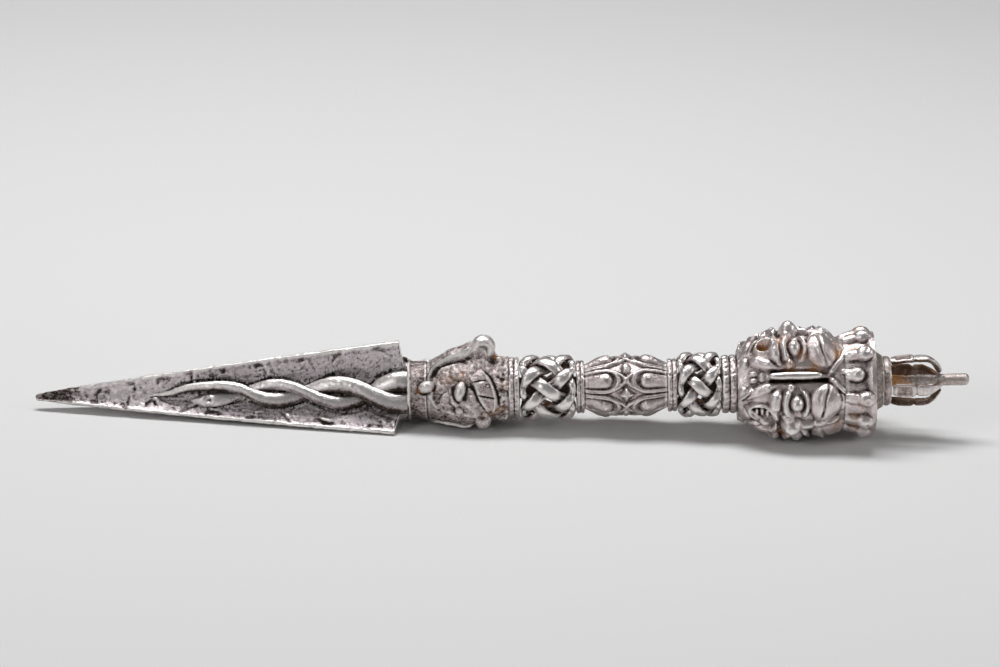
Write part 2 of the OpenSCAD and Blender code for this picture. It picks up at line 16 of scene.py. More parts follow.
import bpy
import numpy as np
from mathutils import Matrix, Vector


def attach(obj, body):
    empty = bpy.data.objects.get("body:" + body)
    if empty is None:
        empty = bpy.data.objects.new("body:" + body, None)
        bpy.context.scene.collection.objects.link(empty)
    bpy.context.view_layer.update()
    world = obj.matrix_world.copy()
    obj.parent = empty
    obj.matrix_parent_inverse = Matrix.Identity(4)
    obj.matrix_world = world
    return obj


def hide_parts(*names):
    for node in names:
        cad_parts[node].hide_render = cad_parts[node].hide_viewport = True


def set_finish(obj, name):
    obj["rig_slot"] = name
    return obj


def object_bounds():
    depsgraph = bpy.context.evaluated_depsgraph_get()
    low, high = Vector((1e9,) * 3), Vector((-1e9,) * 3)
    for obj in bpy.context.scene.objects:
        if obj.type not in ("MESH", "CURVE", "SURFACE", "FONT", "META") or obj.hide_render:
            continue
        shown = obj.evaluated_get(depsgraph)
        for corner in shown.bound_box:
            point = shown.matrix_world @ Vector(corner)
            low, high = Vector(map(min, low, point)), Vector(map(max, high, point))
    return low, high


MM = 0.001
THIRD = 120.0
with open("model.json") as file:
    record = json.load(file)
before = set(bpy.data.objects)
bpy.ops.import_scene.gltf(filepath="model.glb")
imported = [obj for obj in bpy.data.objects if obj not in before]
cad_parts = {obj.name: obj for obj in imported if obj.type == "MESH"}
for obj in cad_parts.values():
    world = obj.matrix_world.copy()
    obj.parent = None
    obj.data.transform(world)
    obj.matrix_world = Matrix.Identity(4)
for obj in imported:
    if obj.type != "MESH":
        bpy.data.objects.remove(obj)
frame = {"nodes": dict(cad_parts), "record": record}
cad_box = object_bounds()
print("pieces in the frame:", len(frame["nodes"]))

# %% [markdown]
# ## The dagger's own axis
#
# The dagger lies on a table, so its axis isn't one of the world's axes. Each section is easier to think of
# on a lathe: a height u along the axis from the blade's point, a turn round it in degrees, and a radius.
# The frame has all that is needed to get back from there to the table. The tip's mount gives the axis, and
# the first trunk stands straight up from it, so it shows where turn 0 is.

# %% Where the axis is, and where each section starts
tip_mount = next(m for m in frame["record"]["mounts"] if m["name"] == "finial_tip")
AXIS = np.array(tip_mount["axis"], float)
AXIS /= np.linalg.norm(AXIS)


def corners(node):
    """The points of a CAD node as an array, in metres."""
    mesh = frame["nodes"][node].data
    flat = np.empty(len(mesh.vertices) * 3)
    mesh.vertices.foreach_get("co", flat)
    return flat.reshape(-1, 3)


POINT = np.array(tip_mount["pos_m"], float)
POINT = POINT + AXIS * ((corners("blade") - POINT) @ AXIS).min()
toward_trunk = corners("makara_trunk_1").mean(0) - POINT
UP = toward_trunk - AXIS * (toward_trunk @ AXIS)
UP /= np.linalg.norm(UP)
SIDE = np.cross(AXIS, UP)


def span(node):
    """Lowest and highest u of a CAD node, in millimetres from the blade's point."""
    u = (corners(node) - POINT) @ AXIS / MM
    return u.min(), u.max()


def reach(node):
    """Largest distance of a CAD node from the axis, in millimetres."""
    out = corners(node) - POINT
    return np.linalg.norm(out - np.outer(out @ AXIS, AXIS), axis=1).max() / MM


def toward(turn):
    """Unit vectors away from the axis at a turn in degrees: cosine times UP plus sine times SIDE."""
    a = np.radians(turn)[..., None]
    return np.cos(a) * UP + np.sin(a) * SIDE


def at(r, turn, u):
    """Places on the table at radius r, a turn and a height u, all in millimetres."""
    r, turn, u = np.broadcast_arrays(*(np.asarray(x, float) for x in (r, turn, u)))
    return POINT / MM + u[..., None] * AXIS + r[..., None] * toward(turn)


def in_channel(k, u, x, y):
    """Places in the blade's channel k: heights u, x across the channel and y outwards, in millimetres."""
    middle = 60.0 + THIRD * k
    out, aside = toward(np.array(middle)), toward(np.array(middle - 90))
    return POINT / MM + u[:, None, None] * AXIS + x[..., None] * aside + y[..., None] * out


BLADE_L = span("blade")[1]
print("axis", AXIS.round(4), "blade", round(BLADE_L, 2), "whole", round(span("finial_spindle")[1], 2), "mm")

# %% [markdown]
# ## Noise that is the same everywhere
#
# Cast metal is never quite smooth. A lattice of fixed numbers, blended smoothly from corner to corner,
# gives a wavy skin in space, so it has no seam where a surface closes on itself.


# %% A noise function and small helpers
def lattice(cell, seed):
    """A fixed number from -1 to 1 for each lattice corner, by mixing the corner's three whole numbers."""
    n = cell[..., 0] * 73856093 ^ cell[..., 1] * 19349663 ^ cell[..., 2] * 83492791 ^ seed * 2654435
    n = (n ^ n >> 13) * 1274126177 & 0xFFFFFFFF
    return (n >> 8 & 0xFFFF) / 32767.5 - 1


ASKEW = np.array([[0.36, 0.48, -0.8], [-0.8, 0.6, 0], [0.48, 0.64, 0.6]])


def grain(points, size, seed=1):
    """Value noise: each cell's eight corner numbers, weighted by an eased distance along each axis. The
    lattice is turned askew, so that its straight lines don't run along the dagger."""
    p = points @ ASKEW / size
    cell = np.floor(p).astype(np.int64)
    f = p - cell
    f = f * f * (3 - 2 * f)
    total = np.zeros(p.shape[:-1])
    for corner in np.ndindex(2, 2, 2):
        weight = np.prod(np.where(corner, f, 1 - f), axis=-1)
        total += weight * lattice(cell + np.array(corner), seed)
    return total


def ease(x):
    """0 below 0, 1 above 1, and a smooth step between."""
    c = np.clip(x, 0, 1)
    return c * c * (3 - 2 * c)


def bell(x, width):
    """1 at 0, and exp of minus (x over the width) squared."""
    return np.exp(-((x / width) ** 2))


def arch(x):
    """Height of a unit half circle at x, and 0 outside it."""
    return np.sqrt(np.maximum(1 - x * x, 0))


def past(x, middle, step):
    """How far x is past the nearest middle, where middles repeat every step."""
    return (x - middle + step / 2) % step - step / 2


def circle(count):
    """Angles in radians, evenly round a circle."""
    return np.linspace(0, 2 * np.pi, count, endpoint=False)


def turns(count):
    return np.arange(count) * 360 / count


def steps(*knots):
    """Heights between pairs (place, step): rows from the first place to the last, about a step apart."""
    parts = []
    for (a, step), (b, _) in zip(knots, knots[1:]):
        parts.append(np.linspace(a, b, max(2, round((b - a) / step) + 1))[:-1])
    return np.concatenate([*parts, [knots[-1][0]]])


# %% [markdown]
# ## Relief
#
# A sculptor lays clay on a plain barrel. The class below does the same on a grid of heights. A mound is a
# half ellipsoid, a ridge is a half round bead along a curve, and a groove is a soft cut along a curve.
# Where two forms meet, a smooth maximum leaves a small fillet, as wax does in the mould.


# %% The relief class
def curve(points, per_part=8):
    """A Catmull-Rom curve: between two points it is a cubic whose slope at each point is half the step
    from the point before to the point after."""
    p = np.array(points, float)
    if len(p) < 3:
        return p
    p = np.concatenate([[2 * p[0] - p[1]], p, [2 * p[-1] - p[-2]]])
    s = np.linspace(0, 1, per_part, endpoint=False)[:, None]
    parts = [
        0.5 * (2 * b + (c - a) * s + (2 * a - 5 * b + 4 * c - d) * s**2 + (3 * b - a - 3 * c + d) * s**3)
        for a, b, c, d in zip(p, p[1:], p[2:], p[3:])
    ]
    return np.concatenate([*parts, p[-2:-1]])


def moved(points, along):
    """A curve's points (u, turn), moved along the dagger."""
    return [(u + along, turn) for u, turn in points]


class Relief:
    """Heights in millimetres over a grid of u and v. On a barrel v is the way round it at the radius given,
    and forms repeat every third of a turn. Without a radius, v is given in millimetres."""

    def __init__(self, u, turn, radius=None):
        v = np.radians(turn) * radius if radius else turn
        self.u, self.v = np.broadcast_arrays(u[:, None], np.atleast_2d(v))
        self.period = np.radians(THIRD) * radius if radius else None
        self.radius, self.sign = radius, 1
        self.height = np.zeros(self.u.shape)

    def sides(self):
        """Runs a loop twice: with the turns as they are, and with their mirror image."""
        for self.sign in (1, -1):
            yield self.sign
        self.sign = 1

    def mm(self, turn):
        return np.radians(turn * self.sign) * self.radius if self.radius else turn

    def around(self, v0):
        """v of each grid point, moved by whole periods to lie near v0."""
        return past(self.v, v0, self.period) + v0 if self.period else self.v

    def lay(self, form, blend=0.15):
        """Smooth maximum of what is there and the form: the larger one, raised where they are close."""
        gap = np.maximum(blend - np.abs(self.height - form), 0)
        self.height = np.maximum(self.height, form) + gap**2 / (4 * blend)

    def mound(self, u, turn, half_u, half_v, height, power=0.5, lean=0, blend=0.15):
        """Height times (1 - d squared) to a power, where d is 1 on the mound's oval rim."""
        v0 = self.mm(turn)
        du, dv, a = self.u - u, self.around(v0) - v0, np.radians(lean * self.sign)
        along, across = du * np.cos(a) + dv * np.sin(a), dv * np.cos(a) - du * np.sin(a)
        d = (along / half_u) ** 2 + (across / half_v) ** 2
        self.lay(height * np.maximum(1 - d, 0) ** power - np.maximum(d - 1, 0) * 2, blend)

    def from_curve(self, points, margin):
        """Distance of the grid points near a curve, how far along it they are, and which points they are."""
        line = curve([(u, self.mm(turn)) for u, turn in points])
        v = self.around(line[:, 1].mean())
        near = (self.u > line[:, 0].min() - margin) & (self.u < line[:, 0].max() + margin)
        near &= (v > line[:, 1].min() - margin) & (v < line[:, 1].max() + margin)
        pu, pv = self.u[near], v[near]
        best, along = np.full(pu.shape, 1e9), np.zeros(pu.shape)
        for i, (a, b) in enumerate(zip(line, line[1:])):
            d = b - a
            s = np.clip(((pu - a[0]) * d[0] + (pv - a[1]) * d[1]) / max(d @ d, 1e-12), 0, 1)
            gap = np.hypot(pu - a[0] - s * d[0], pv - a[1] - s * d[1])
            along = np.where(gap < best, (i + s) / (len(line) - 1), along)
            best = np.minimum(gap, best)
        return best, along, near

    def ridge(self, points, half_w, height, taper=0.35, power=0.5, blend=0.12):
        """A bead along a curve: height times (1 - d squared) to a power, d the distance over the half
        width. Both fall off towards the ends."""
        gap, along, near = self.from_curve(points, half_w * 2.5)
        size = 0.35 + 0.65 * ease(np.minimum(along, 1 - along) / taper)
        d = (gap / (half_w * size)) ** 2
        form = np.full(self.height.shape, -1e3)
        form[near] = height * size * np.maximum(1 - d, 0) ** power - np.maximum(d - 1, 0) * 0.5
        self.lay(form, blend)

    def groove(self, points, half_w, depth, taper=0.2):
        """A cut along a curve: depth times the bell of the distance. A negative depth raises a welt."""
        gap, along, near = self.from_curve(points, half_w * 2.5)
        self.height[near] -= depth * ease(np.minimum(along, 1 - along) / taper) * bell(gap, half_w)

    def distance(self, u, turn):
        v0 = self.mm(turn)
        return np.hypot(self.u - u, self.around(v0) - v0)

    def pit(self, u, turn, radius, depth, rim):
        """A round dimple with a flat floor, and a low rim where it ends."""
        d = self.distance(u, turn) / radius
        self.height += rim * bell(d - 1.25, 0.3) - depth * np.exp(-(d**4))

    def ring(self, u, turn, radius, half_w, height, blend=0.1):
        """A round bead: like a ridge, along a circle."""
        d = (self.distance(u, turn) - radius) / half_w
        self.lay(height * arch(d) - np.maximum(d * d - 1, 0) * 0.5, blend)


# %% [markdown]
# ## From grids to pieces
#
# Every surface here is a grid of points that closes on itself across its rows, and often along them too, so
# one function can turn all of them into meshes. It also measures how far each point stands out of the mean
# of its neighbours, which is what a thumb feels: tops are positive and creases are negative. The mesh keeps
# that as an attribute, and the materials read it.


# %% Grids, their normals and how they stand out
def neighbours(grid, loop):
    """The four neighbours of each grid point: across always wraps round, and along wraps for a loop."""
    if loop:
        up, down = np.roll(grid, 1, 0), np.roll(grid, -1, 0)
    else:
        up, down = np.concatenate([grid[:1], grid[:-1]]), np.concatenate([grid[1:], grid[-1:]])
    return up, down, np.roll(grid, 1, 1), np.roll(grid, -1, 1)


def normals(grid, loop):
    """Cross product of the steps across and along, made a unit, pointing outwards."""
    up, down, left, right = neighbours(grid, loop)
    n = np.cross(right - left, down - up)
    return n / np.maximum(np.linalg.norm(n, axis=-1, keepdims=True), 1e-9)


def raised_by(grid, loop, height):
    """The grid moved along its normals."""
    return grid + normals(grid, loop) * height[..., None]


def standing_out(grid, loop, passes):
    """Distance of each point, along its normal, from where repeated averaging of neighbours takes it."""
    smooth = grid
    for _ in range(passes):
        smooth = sum(neighbours(smooth, loop)) * 0.2 + smooth * 0.2
    return np.sum((grid - smooth) * normals(grid, loop), axis=-1)


def softened(height, times):
    """Each height becomes the mean of itself and its neighbours, first round the barrel and then along."""
    for _ in range(times):
        height = (height + np.roll(height, 1, 1) + np.roll(height, -1, 1)) / 3
        height[1:-1] = (height[:-2] + height[1:-1] + height[2:]) / 3
    return height


def casting_skin(grid, loop, depth, size, seed):
    """The grid with two octaves of noise added along its normals."""
    noise = grain(grid, size, seed) + 0.5 * grain(grid, size * 0.45, seed + 7)
    return raised_by(grid, loop, depth * noise)


made = []
BOX_LO, BOX_HI = (np.array(c) / MM for c in cad_box)
SOFT = 0.25
SHARP = np.radians(50)
SPOT_R = 9


def kept_in_box(points):
    """Points pressed into the CAD's box. Near the table they are pressed softly: below a quarter of a
    millimetre, a height falls as an exponential does and never reaches the table."""
    z = points[:, 2]
    pressed = np.where(z < SOFT, SOFT * np.exp(np.minimum(z - SOFT, 0) / SOFT), z)
    return np.clip(np.stack([points[:, 0], points[:, 1], pressed], -1), BOX_LO, BOX_HI)


def piece(name, grid, node, slot, loop=True, skin=None, passes=14, scale=0.1, worn=0, rust=0, amber=0):
    """A mesh from a grid in millimetres: a quad between each four points, and a fan over each open end.
    Skin is the depth, size and seed of the casting's noise. Points that stand out by the scale count as
    fully proud, and worn is added where hands reach more or less than the shape tells, and where a bar's
    flanks carry painted shade and its top a painted highlight."""
    if skin:
        grid = casting_skin(grid, loop, *skin)
    rows, cols = grid.shape[:2]
    index = np.arange(rows * cols).reshape(rows, cols)
    low = index if loop else index[:-1]
    high = np.roll(index, -1, 0) if loop else index[1:]
    quads = np.stack([low, high, np.roll(high, -1, 1), np.roll(low, -1, 1)], -1).reshape(-1, 4)
    points = kept_in_box(grid.reshape(-1, 3))
    proud = np.clip(standing_out(grid, loop, passes) / scale, -1, 1)
    values = {"proud": np.clip(proud + worn, -1, 1), "rust": rust, "amber": amber}
    values = {key: np.broadcast_to(value, (rows, cols)).ravel() for key, value in values.items()}
    a, b, c = points[quads[:, 0]], points[quads[:, 1]], points[quads[:, 2]]
    inside_out = np.sum(np.cross(b - a, c - a) * (a - points.mean(0))) < 0
    fans = []
    if not loop:
        centres = kept_in_box(np.array([grid[0].mean(0), grid[-1].mean(0)]))
        n = len(points)
        points = np.concatenate([points, centres])
        values = {k: np.concatenate([v, [v[:cols].mean(), v[-cols:].mean()]]) for k, v in values.items()}
        first, last = index[0], index[-1]
        fans = np.stack([np.full(cols, n), first, np.roll(first, -1)], -1).tolist()
        fans += np.stack([np.full(cols, n + 1), np.roll(last, -1), last], -1).tolist()
    faces = quads.tolist() + fans
    if inside_out:
        faces = [f[::-1] for f in faces]
    mesh = bpy.data.meshes.new(name)
    mesh.from_pydata(points * MM, [], faces)
    for key, value in values.items():
        mesh.attributes.new(key, "FLOAT", "POINT").data.foreach_set("value", value.astype(np.float32))
    mesh.shade_smooth()
    mesh.set_sharp_from_angle(angle=SHARP)
    obj = bpy.data.objects.new(name, mesh)
    bpy.context.scene.collection.objects.link(obj)
    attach(obj, "root")
    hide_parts(node)
    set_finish(obj, slot)
    made.append(obj)
    print(f"{name}: {2 * len(quads) + len(fans)} triangles")


def polish_and_flank_shade(around, low, high=0.5, edge=-0.15, aside=0.0):
    """Wear and painted light round a bar whose section is an oval: low on its flanks, which are painted as
    shaded, and high on the outward side, which hands polish and which is painted as lit. It grows where
    the sine of the angle round the bar is past edge, and aside moves it round the bar, in radians."""
    return low + (high - low) * ease((np.sin(circle(around)[None] + aside) - edge) / (0.9 - edge))


def amber_spots(u, turn, *spots):
    """How much orange residue is at each point: the largest of soft round spots (u, turn, size)."""
    total = np.zeros((len(u), len(turn)))
    for su, st, size in spots:
        dv = past(turn[None], st, THIRD) * np.pi / 180 * SPOT_R
        total = np.maximum(total, np.exp(-((u[:, None] - su) ** 2 + dv**2) / size**2))
    return total


# %% [markdown]
# ## Materials: white metal with patina
#
# On the real dagger one metal has aged in different places to different degrees. The material is a
# polished metal where a point stands out, and a dull brown-grey crust where it lies deep. An ambient
# occlusion node adds the gaps between neighbouring pieces, which no single mesh knows of; that
# darkening is painted shade as well as patina. Arithmetic on a wrapped socket adds Math nodes, so the
# recipe reads like a formula.


# %% A socket that does arithmetic, and one method for nodes
class Field:
    """A number or colour that varies over a surface. Arithmetic on it adds Math nodes."""

    def __init__(self, finish, socket):
        self.finish, self.socket = finish, socket

    def calc(self, operation, *values):
        sockets = dict(enumerate(values))
        return self.finish.node("ShaderNodeMath", {"operation": operation}, sockets, "Value")

    def __add__(self, other):
        return self.calc("ADD", self, other)

    def __sub__(self, other):
        return self.calc("SUBTRACT", self, other)

    def __rsub__(self, other):
        return self.calc("SUBTRACT", other, self)

    def __mul__(self, other):
        return self.calc("MULTIPLY", self, other)

    __radd__, __rmul__ = __add__, __mul__

    def clamp(self):
        return self.calc("MINIMUM", self.calc("MAXIMUM", self, 0.0), 1.0)

    def between(self, low, high):
        """0 at low and 1 at high, clamped."""
        return ((self - low) * (1 / (high - low))).clamp()


class Finish:
    """One material and its nodes."""

    def __init__(self, name):
        self.material = bpy.data.materials.new(name)
        self.material.use_nodes = True
        self.tree = self.material.node_tree
        self.tree.nodes.clear()
        self.output = self.tree.nodes.new("ShaderNodeOutputMaterial")

    def node(self, kind, settings, sockets, out):
        """Adds a node, sets its settings, then its sockets by name or number, and returns one output."""
        new = self.tree.nodes.new(kind)
        for key, value in settings.items():
            setattr(new, key, value)
        for key, value in sockets.items():
            if isinstance(value, Field):
                self.tree.links.new(value.socket, new.inputs[key])
            else:
                new.inputs[key].default_value = value
        return Field(self, new.outputs[out])

    def attribute(self, name):
        return self.node("ShaderNodeAttribute", {"attribute_name": name}, {}, "Fac")

    def noise(self, size_mm, detail, rough, low=0.35, high=0.65):
        where = self.node("ShaderNodeTexCoord", {}, {}, "Object")
        sockets = {"Vector": where, "Scale": 1 / (size_mm * MM), "Detail": detail, "Roughness": rough}
        return self.node("ShaderNodeTexNoise", {}, sockets, 0).between(low, high)

    def blend(self, share, a, b):
        """A colour that is a where share is 0 and b where it is 1."""
        return self.node("ShaderNodeMix", {"data_type": "RGBA"}, {0: share, 6: a, 7: b}, 2)

    def shine(self, sockets):
        """Ends the tree with a Principled shader."""
        shader = self.node("ShaderNodeBsdfPrincipled", {}, sockets, 0)
        self.tree.links.new(shader.socket, self.output.inputs["Surface"])
        return self.material


# %% The metal's colours and the recipe
SILVER = (0.66, 0.575, 0.57, 1)
BRIGHT = (0.88, 0.84, 0.82, 1)
# The grey and brown patina colours also serve as painted shade, where occlusion and the flanks of bars
# darken the metal.
GREY_PATINA_AND_SHADE = (0.17, 0.14, 0.125, 1)
BROWN_PATINA_AND_SHADE = (0.032, 0.02, 0.013, 1)
AMBER = (0.42, 0.20, 0.07, 1)
RUST = (0.028, 0.013, 0.008, 1)
GAP_REACH = 1.6
PATCH_SIZE, SPECKLE_SIZE = 2.6, 0.28
BUMP_HEIGHT = 0.1


def white_metal(name, polish, dirt_and_shade, silver, pebble, bump, residue=AMBER):
    """Metal with patina and painted shade. Crust grows with depth, occlusion and noise, so it is patina in
    the hollows and painted shade in gaps and on shaded flanks; polish shifts it towards the hollows; amber
    and rust follow attributes of those names."""
    f = Finish(name)
    proud = f.attribute("proud")
    patches = f.noise(PATCH_SIZE, 3.0, 0.55)
    speckle = f.noise(SPECKLE_SIZE, 2.0, 0.6)
    # Occlusion darkens the crust in gaps and creases: painted shade laid over the patina.
    unoccluded = f.node("ShaderNodeAmbientOcclusion", {"samples": 6}, {"Distance": GAP_REACH * MM}, "AO")
    grit = 0.25 + 0.35 * bump
    depth = (0.0 - proud) + (1.0 - unoccluded) * 1.25 + (patches - 0.5) * 0.5 + (speckle - 0.5) * grit
    crust_and_shade = depth.between(polish - 0.45, polish + 0.55) * dirt_and_shade
    shine = (proud - (speckle - 0.5) * grit).between(0.15, 0.8)
    colour = f.blend(shine, silver, BRIGHT)
    colour = f.blend(crust_and_shade, colour, GREY_PATINA_AND_SHADE)
    brown = (crust_and_shade * patches * 0.6 + depth.between(polish + 0.25, polish + 0.9)).clamp() * dirt_and_shade
    colour = f.blend(brown, colour, BROWN_PATINA_AND_SHADE)
    amber = (f.attribute("amber") * (0.5 + speckle) * (0.6 + crust_and_shade)).clamp()
    colour = f.blend(amber, colour, residue)
    rust = f.attribute("rust")
    colour = f.blend((rust * (0.7 + speckle * 0.6)).clamp(), colour, RUST)
    dull = (crust_and_shade + rust + amber * 0.6).clamp()
    roughness = 0.31 + dull * 0.24 + speckle * 0.08 + rust * 0.2
    metallic = (1.0 - dull * 0.4 - rust * 0.5).clamp()
    pebbles = (f.noise(pebble, 3.0, 0.6, 0.2, 0.8) + speckle * 0.3) * (1.0 - shine * 0.5)
    bumps = {"Strength": 1.0, "Distance": BUMP_HEIGHT * bump * MM, "Height": pebbles}
    normal = f.node("ShaderNodeBump", {}, bumps, "Normal")
    return f.shine({"Base Color": colour, "Roughness": roughness, "Metallic": metallic, "Normal": normal})


METALS = {
    "blade": white_metal("blade_cast_metal", 0.9, 0.9, (0.74, 0.66, 0.69, 1), 0.4, 1.3),
    "serpents": white_metal("serpent_worn_metal", 0.4, 1.0, (0.60, 0.53, 0.54, 1), 0.4, 0.7),
    "makara": white_metal("makara_rough_metal", 0.4, 1.0, (0.60, 0.52, 0.51, 1), 0.4, 1.3),
    "handle": white_metal("handle_worn_metal", 0.6, 1.0, SILVER, 0.4, 0.6),
    "head": white_metal("head_polished_metal", 0.85, 1.0, (0.77, 0.68, 0.67, 1), 0.4, 0.5),
    "core": white_metal("core_rod_tarnished", -0.2, 1.0, (0.16, 0.11, 0.075, 1), 0.4, 0.8),
    "finial": white_metal("finial_worn_metal", 0.45, 1.0, (0.60, 0.52, 0.51, 1), 0.3, 0.6),
    "finial_spindle": white_metal(
        "spindle_golden_residue", 0.35, 0.8, (0.50, 0.425, 0.40, 1), 0.3, 0.8, (0.80, 0.38, 0.08, 1)
    ),
    "cap": white_metal("cap_dull_patina", 0.1, 0.9, (0.42, 0.37, 0.33, 1), 0.4, 1.0),
}
print("materials:", len(bpy.data.materials))

# %% [markdown]
# ## The blade
#
# Across the axis the blade is a three-pointed star. Each third has a flat channel floor and two walls that
# rise to the edges. I work the ring of points out in the channel's own directions, out and sideways, and
# lay the relief on it: a raised rim along the edges, a row of punched marks inside each rim, and a beaded
# line round the serpents. The shoulders cut the edges off, so the same walls just end earlier there.

# %% The blade's sizes
BLADE_R, POINT_R, EDGE_BOW, EDGE_T = reach("blade") - 0.01, 0.6, 0.18, 0.9
CHANNEL_R, CHANNEL_W, BLADE_END_R = 3.0, 5.0, 5.6
LOW_SHOULDER = BLADE_L - 2.6
TOP_SHOULDER = LOW_SHOULDER + 1.1
EDGE_DIRECTION = np.array([np.sin(np.pi / 3), np.cos(np.pi / 3)])


def edge_rise(u):
    """Distance of the edges from the axis: nearly a straight line, bowed outwards a little, and rounded
    over at the point as a quarter circle is."""
    s = np.clip(u / LOW_SHOULDER, 0, 1)
    tip = np.clip(u / 0.8, 0.04, 1)
    return (POINT_R + (BLADE_R - POINT_R) * (s + EDGE_BOW * s * (1 - s))) * np.sqrt(tip * (2 - tip))


def growth(u):
    """The channels grow as the edges do."""
    return edge_rise(u) / BLADE_R


def cut_radius(u, shoulder):
    """Where the edge ends at height u: on its line up to the shoulder, then a concave quarter that falls
    steeply at first and meets the collar gently."""
    s = np.clip((u - shoulder) / (BLADE_L - shoulder), 0, 1)
    return np.where(u <= shoulder, edge_rise(u), BLADE_END_R + (BLADE_R - BLADE_END_R) * (1 - s) ** 3)


# %% [markdown]
# ## Where the serpents run
#
# Two serpents twist round each other along each channel. Seen from outside they are two sine waves in
# opposite phase, and each one rides over the other at every second crossing. The blade needs to know how
# wide they are, because the beaded line follows them.

# %% The serpents' paths
FIRST_CROSSING, CROSSING_GAP, LAST_BOW, HEAD_L = 7.6, 12.0, 18.2, 10.0
THIRD_CROSSING = BLADE_L - FIRST_CROSSING - 2 * CROSSING_GAP
TAIL_U, SNOUT_U = THIRD_CROSSING - LAST_BOW, THIRD_CROSSING - HEAD_L
SERPENT_T = 2.3


def phase(u):
    """Half turns of the twist from the first crossing: one for each gap, and one for the whole last bow."""
    far = 2 + (THIRD_CROSSING - u) / LAST_BOW
    return np.pi * np.where(u >= THIRD_CROSSING, (BLADE_L - FIRST_CROSSING - u) / CROSSING_GAP, far)


def serpent_width(u):
    """Wide where they leave the collar, then nearly even."""
    return np.interp(u, [22, 40, 52, 60, 66, 72], [2.4, 2.75, 3.05, 3.45, 3.9, 4.2])


def serpent_side(u, short):
    """Sideways place of a serpent's middle: half its width times the sine of the phase. The pair drifts a
    little to one side on its way up, and the long one bends in its last bow."""
    swing = serpent_width(u) / 2 + 0.05
    drift = -0.25 - 0.6 * ease((u - 48) / 14)
    wave = np.sin(phase(u))
    if short:
        return drift + np.where(u < THIRD_CROSSING, -0.85, -1.0) * swing * wave
    return drift + (swing * wave + (0.62 * bell(u - 38.5, 4.5) - 0.5 * bell(u - 26, 2.8)))


def serpents_edge(u, sign):
    """How far the pair reaches to one side of the channel's middle."""
    half = serpent_width(u) / 2 * ease((u - TAIL_U + 1) / 8)
    return np.maximum(sign * serpent_side(u, False), sign * serpent_side(u, True)) + half


# %% The blade's mesh
FIRST_MARKS, LAST_MARK = {1: 13.2, -1: 11.8}, 69.3
MARK_GAPS = [0, 5.6, 5.5, 6.0, 6.4, 6.9, 7.4, 7.6, 8.2]


def mark(face, u, v, sign, size, dice):
    """A punched mark: a chip cut through the rim and inwards, and a bright burr thrown up beside it. Each
    point is moved a little by the dice, as no two marks are alike."""
    chip = np.array([(-1.3, 0.2), (-0.5, -0.25), (0.3, -0.35), (0.8, -1.0), (1.2, -1.3)])
    chip = (chip * [dice.choice([-1, 1]), 1] + dice.normal(0, 0.28, (5, 2))) * size
    burr = chip[1:] * [1, 0.9] + [0.42, -0.48] + dice.normal(0, 0.12, (4, 2))
    face.groove([(u + a, v + sign * b) for a, b in chip], 0.33, 0.4, 0.3)
    face.groove([(u + a, v + sign * b) for a, b in burr], 0.32, -0.5, 0.4)


FACE_HALF = 42
RUST_U, RUST_REACH = 4.9, 4.0
blade_u = steps((0.0, 0.06), (0.6, 0.26), (LOW_SHOULDER - 0.4, 0.06), (BLADE_L, 1))
share = np.linspace(1, -1, 2 * FACE_HALF + 1)
low_cut, top_cut = cut_radius(blade_u, LOW_SHOULDER), cut_radius(blade_u, TOP_SHOULDER)
edge_half = EDGE_T / 2 * (0.4 + 0.6 * np.clip(blade_u / LOW_SHOULDER, 0, 1))
full_r, floor_r = edge_rise(blade_u), CHANNEL_R * growth(blade_u)
floor_half = CHANNEL_W / 2 * growth(blade_u)
rim_x = EDGE_DIRECTION[0] * full_r - 0.5 * edge_half
rim_y = EDGE_DIRECTION[1] * full_r + EDGE_DIRECTION[0] * edge_half
slope = (rim_y - floor_r) / (rim_x - floor_half)


def wall_end(cut):
    """Sideways place where a wall reaches the distance at which its edge is cut off."""
    return (cut - 0.5 * floor_r + 0.5 * slope * floor_half) / (EDGE_DIRECTION[0] + 0.5 * slope)


def face_points(right_cut, left_cut, seed):
    """Sideways and outward places over one face, with its relief, and the relief alone."""
    right, left = wall_end(right_cut), wall_end(left_cut)
    x = np.where(share > 0, share * right[:, None], share * left[:, None])
    beyond = np.maximum(np.abs(x) - floor_half[:, None], 0)
    corner = 0.5 * growth(blade_u)[:, None]
    y = floor_r[:, None] + slope[:, None] * (np.hypot(beyond, corner) - corner + beyond * 0.06)
    flat = Relief(blade_u, x)
    u = flat.u
    dice = np.random.default_rng(seed)
    for sign, end in ((1, right), (-1, left)):
        to_rim = np.minimum(rim_x, end)[:, None] - sign * x
        rim = 0.18 * bell(to_rim - 0.3, 0.32) - 0.07 * bell(to_rim - 1.0, 0.35)
        flat.height += rim * ease(u / 10) * ease((BLADE_L - u) / 0.8)
        spread = ease((u - 53) / 16) * (3.3 if sign > 0 else 1.2)
        line = (sign * x - serpents_edge(u, sign) - 0.3 - spread) / 0.17
        fade = ease((u - TAIL_U - 1) / 4) * ease((70.5 - u) / 2)
        bead = 0.6 + 0.5 * np.sin(u * 2 * np.pi / 0.62)
        flat.height += fade * (0.25 * bead * np.exp(-(line**2)) - 0.12 * ease((0.3 - line * 0.17) / 0.4))
        row = FIRST_MARKS[sign] + np.cumsum(MARK_GAPS) + dice.normal(0, 0.35, len(MARK_GAPS))
        for place in row[row < LAST_MARK]:
            rim_here = np.interp(place, blade_u, rim_x)
            mark(flat, place, sign * (rim_here - 0.6), sign, dice.uniform(0.8, 1.45), dice)
    return x, y + flat.height, flat.height


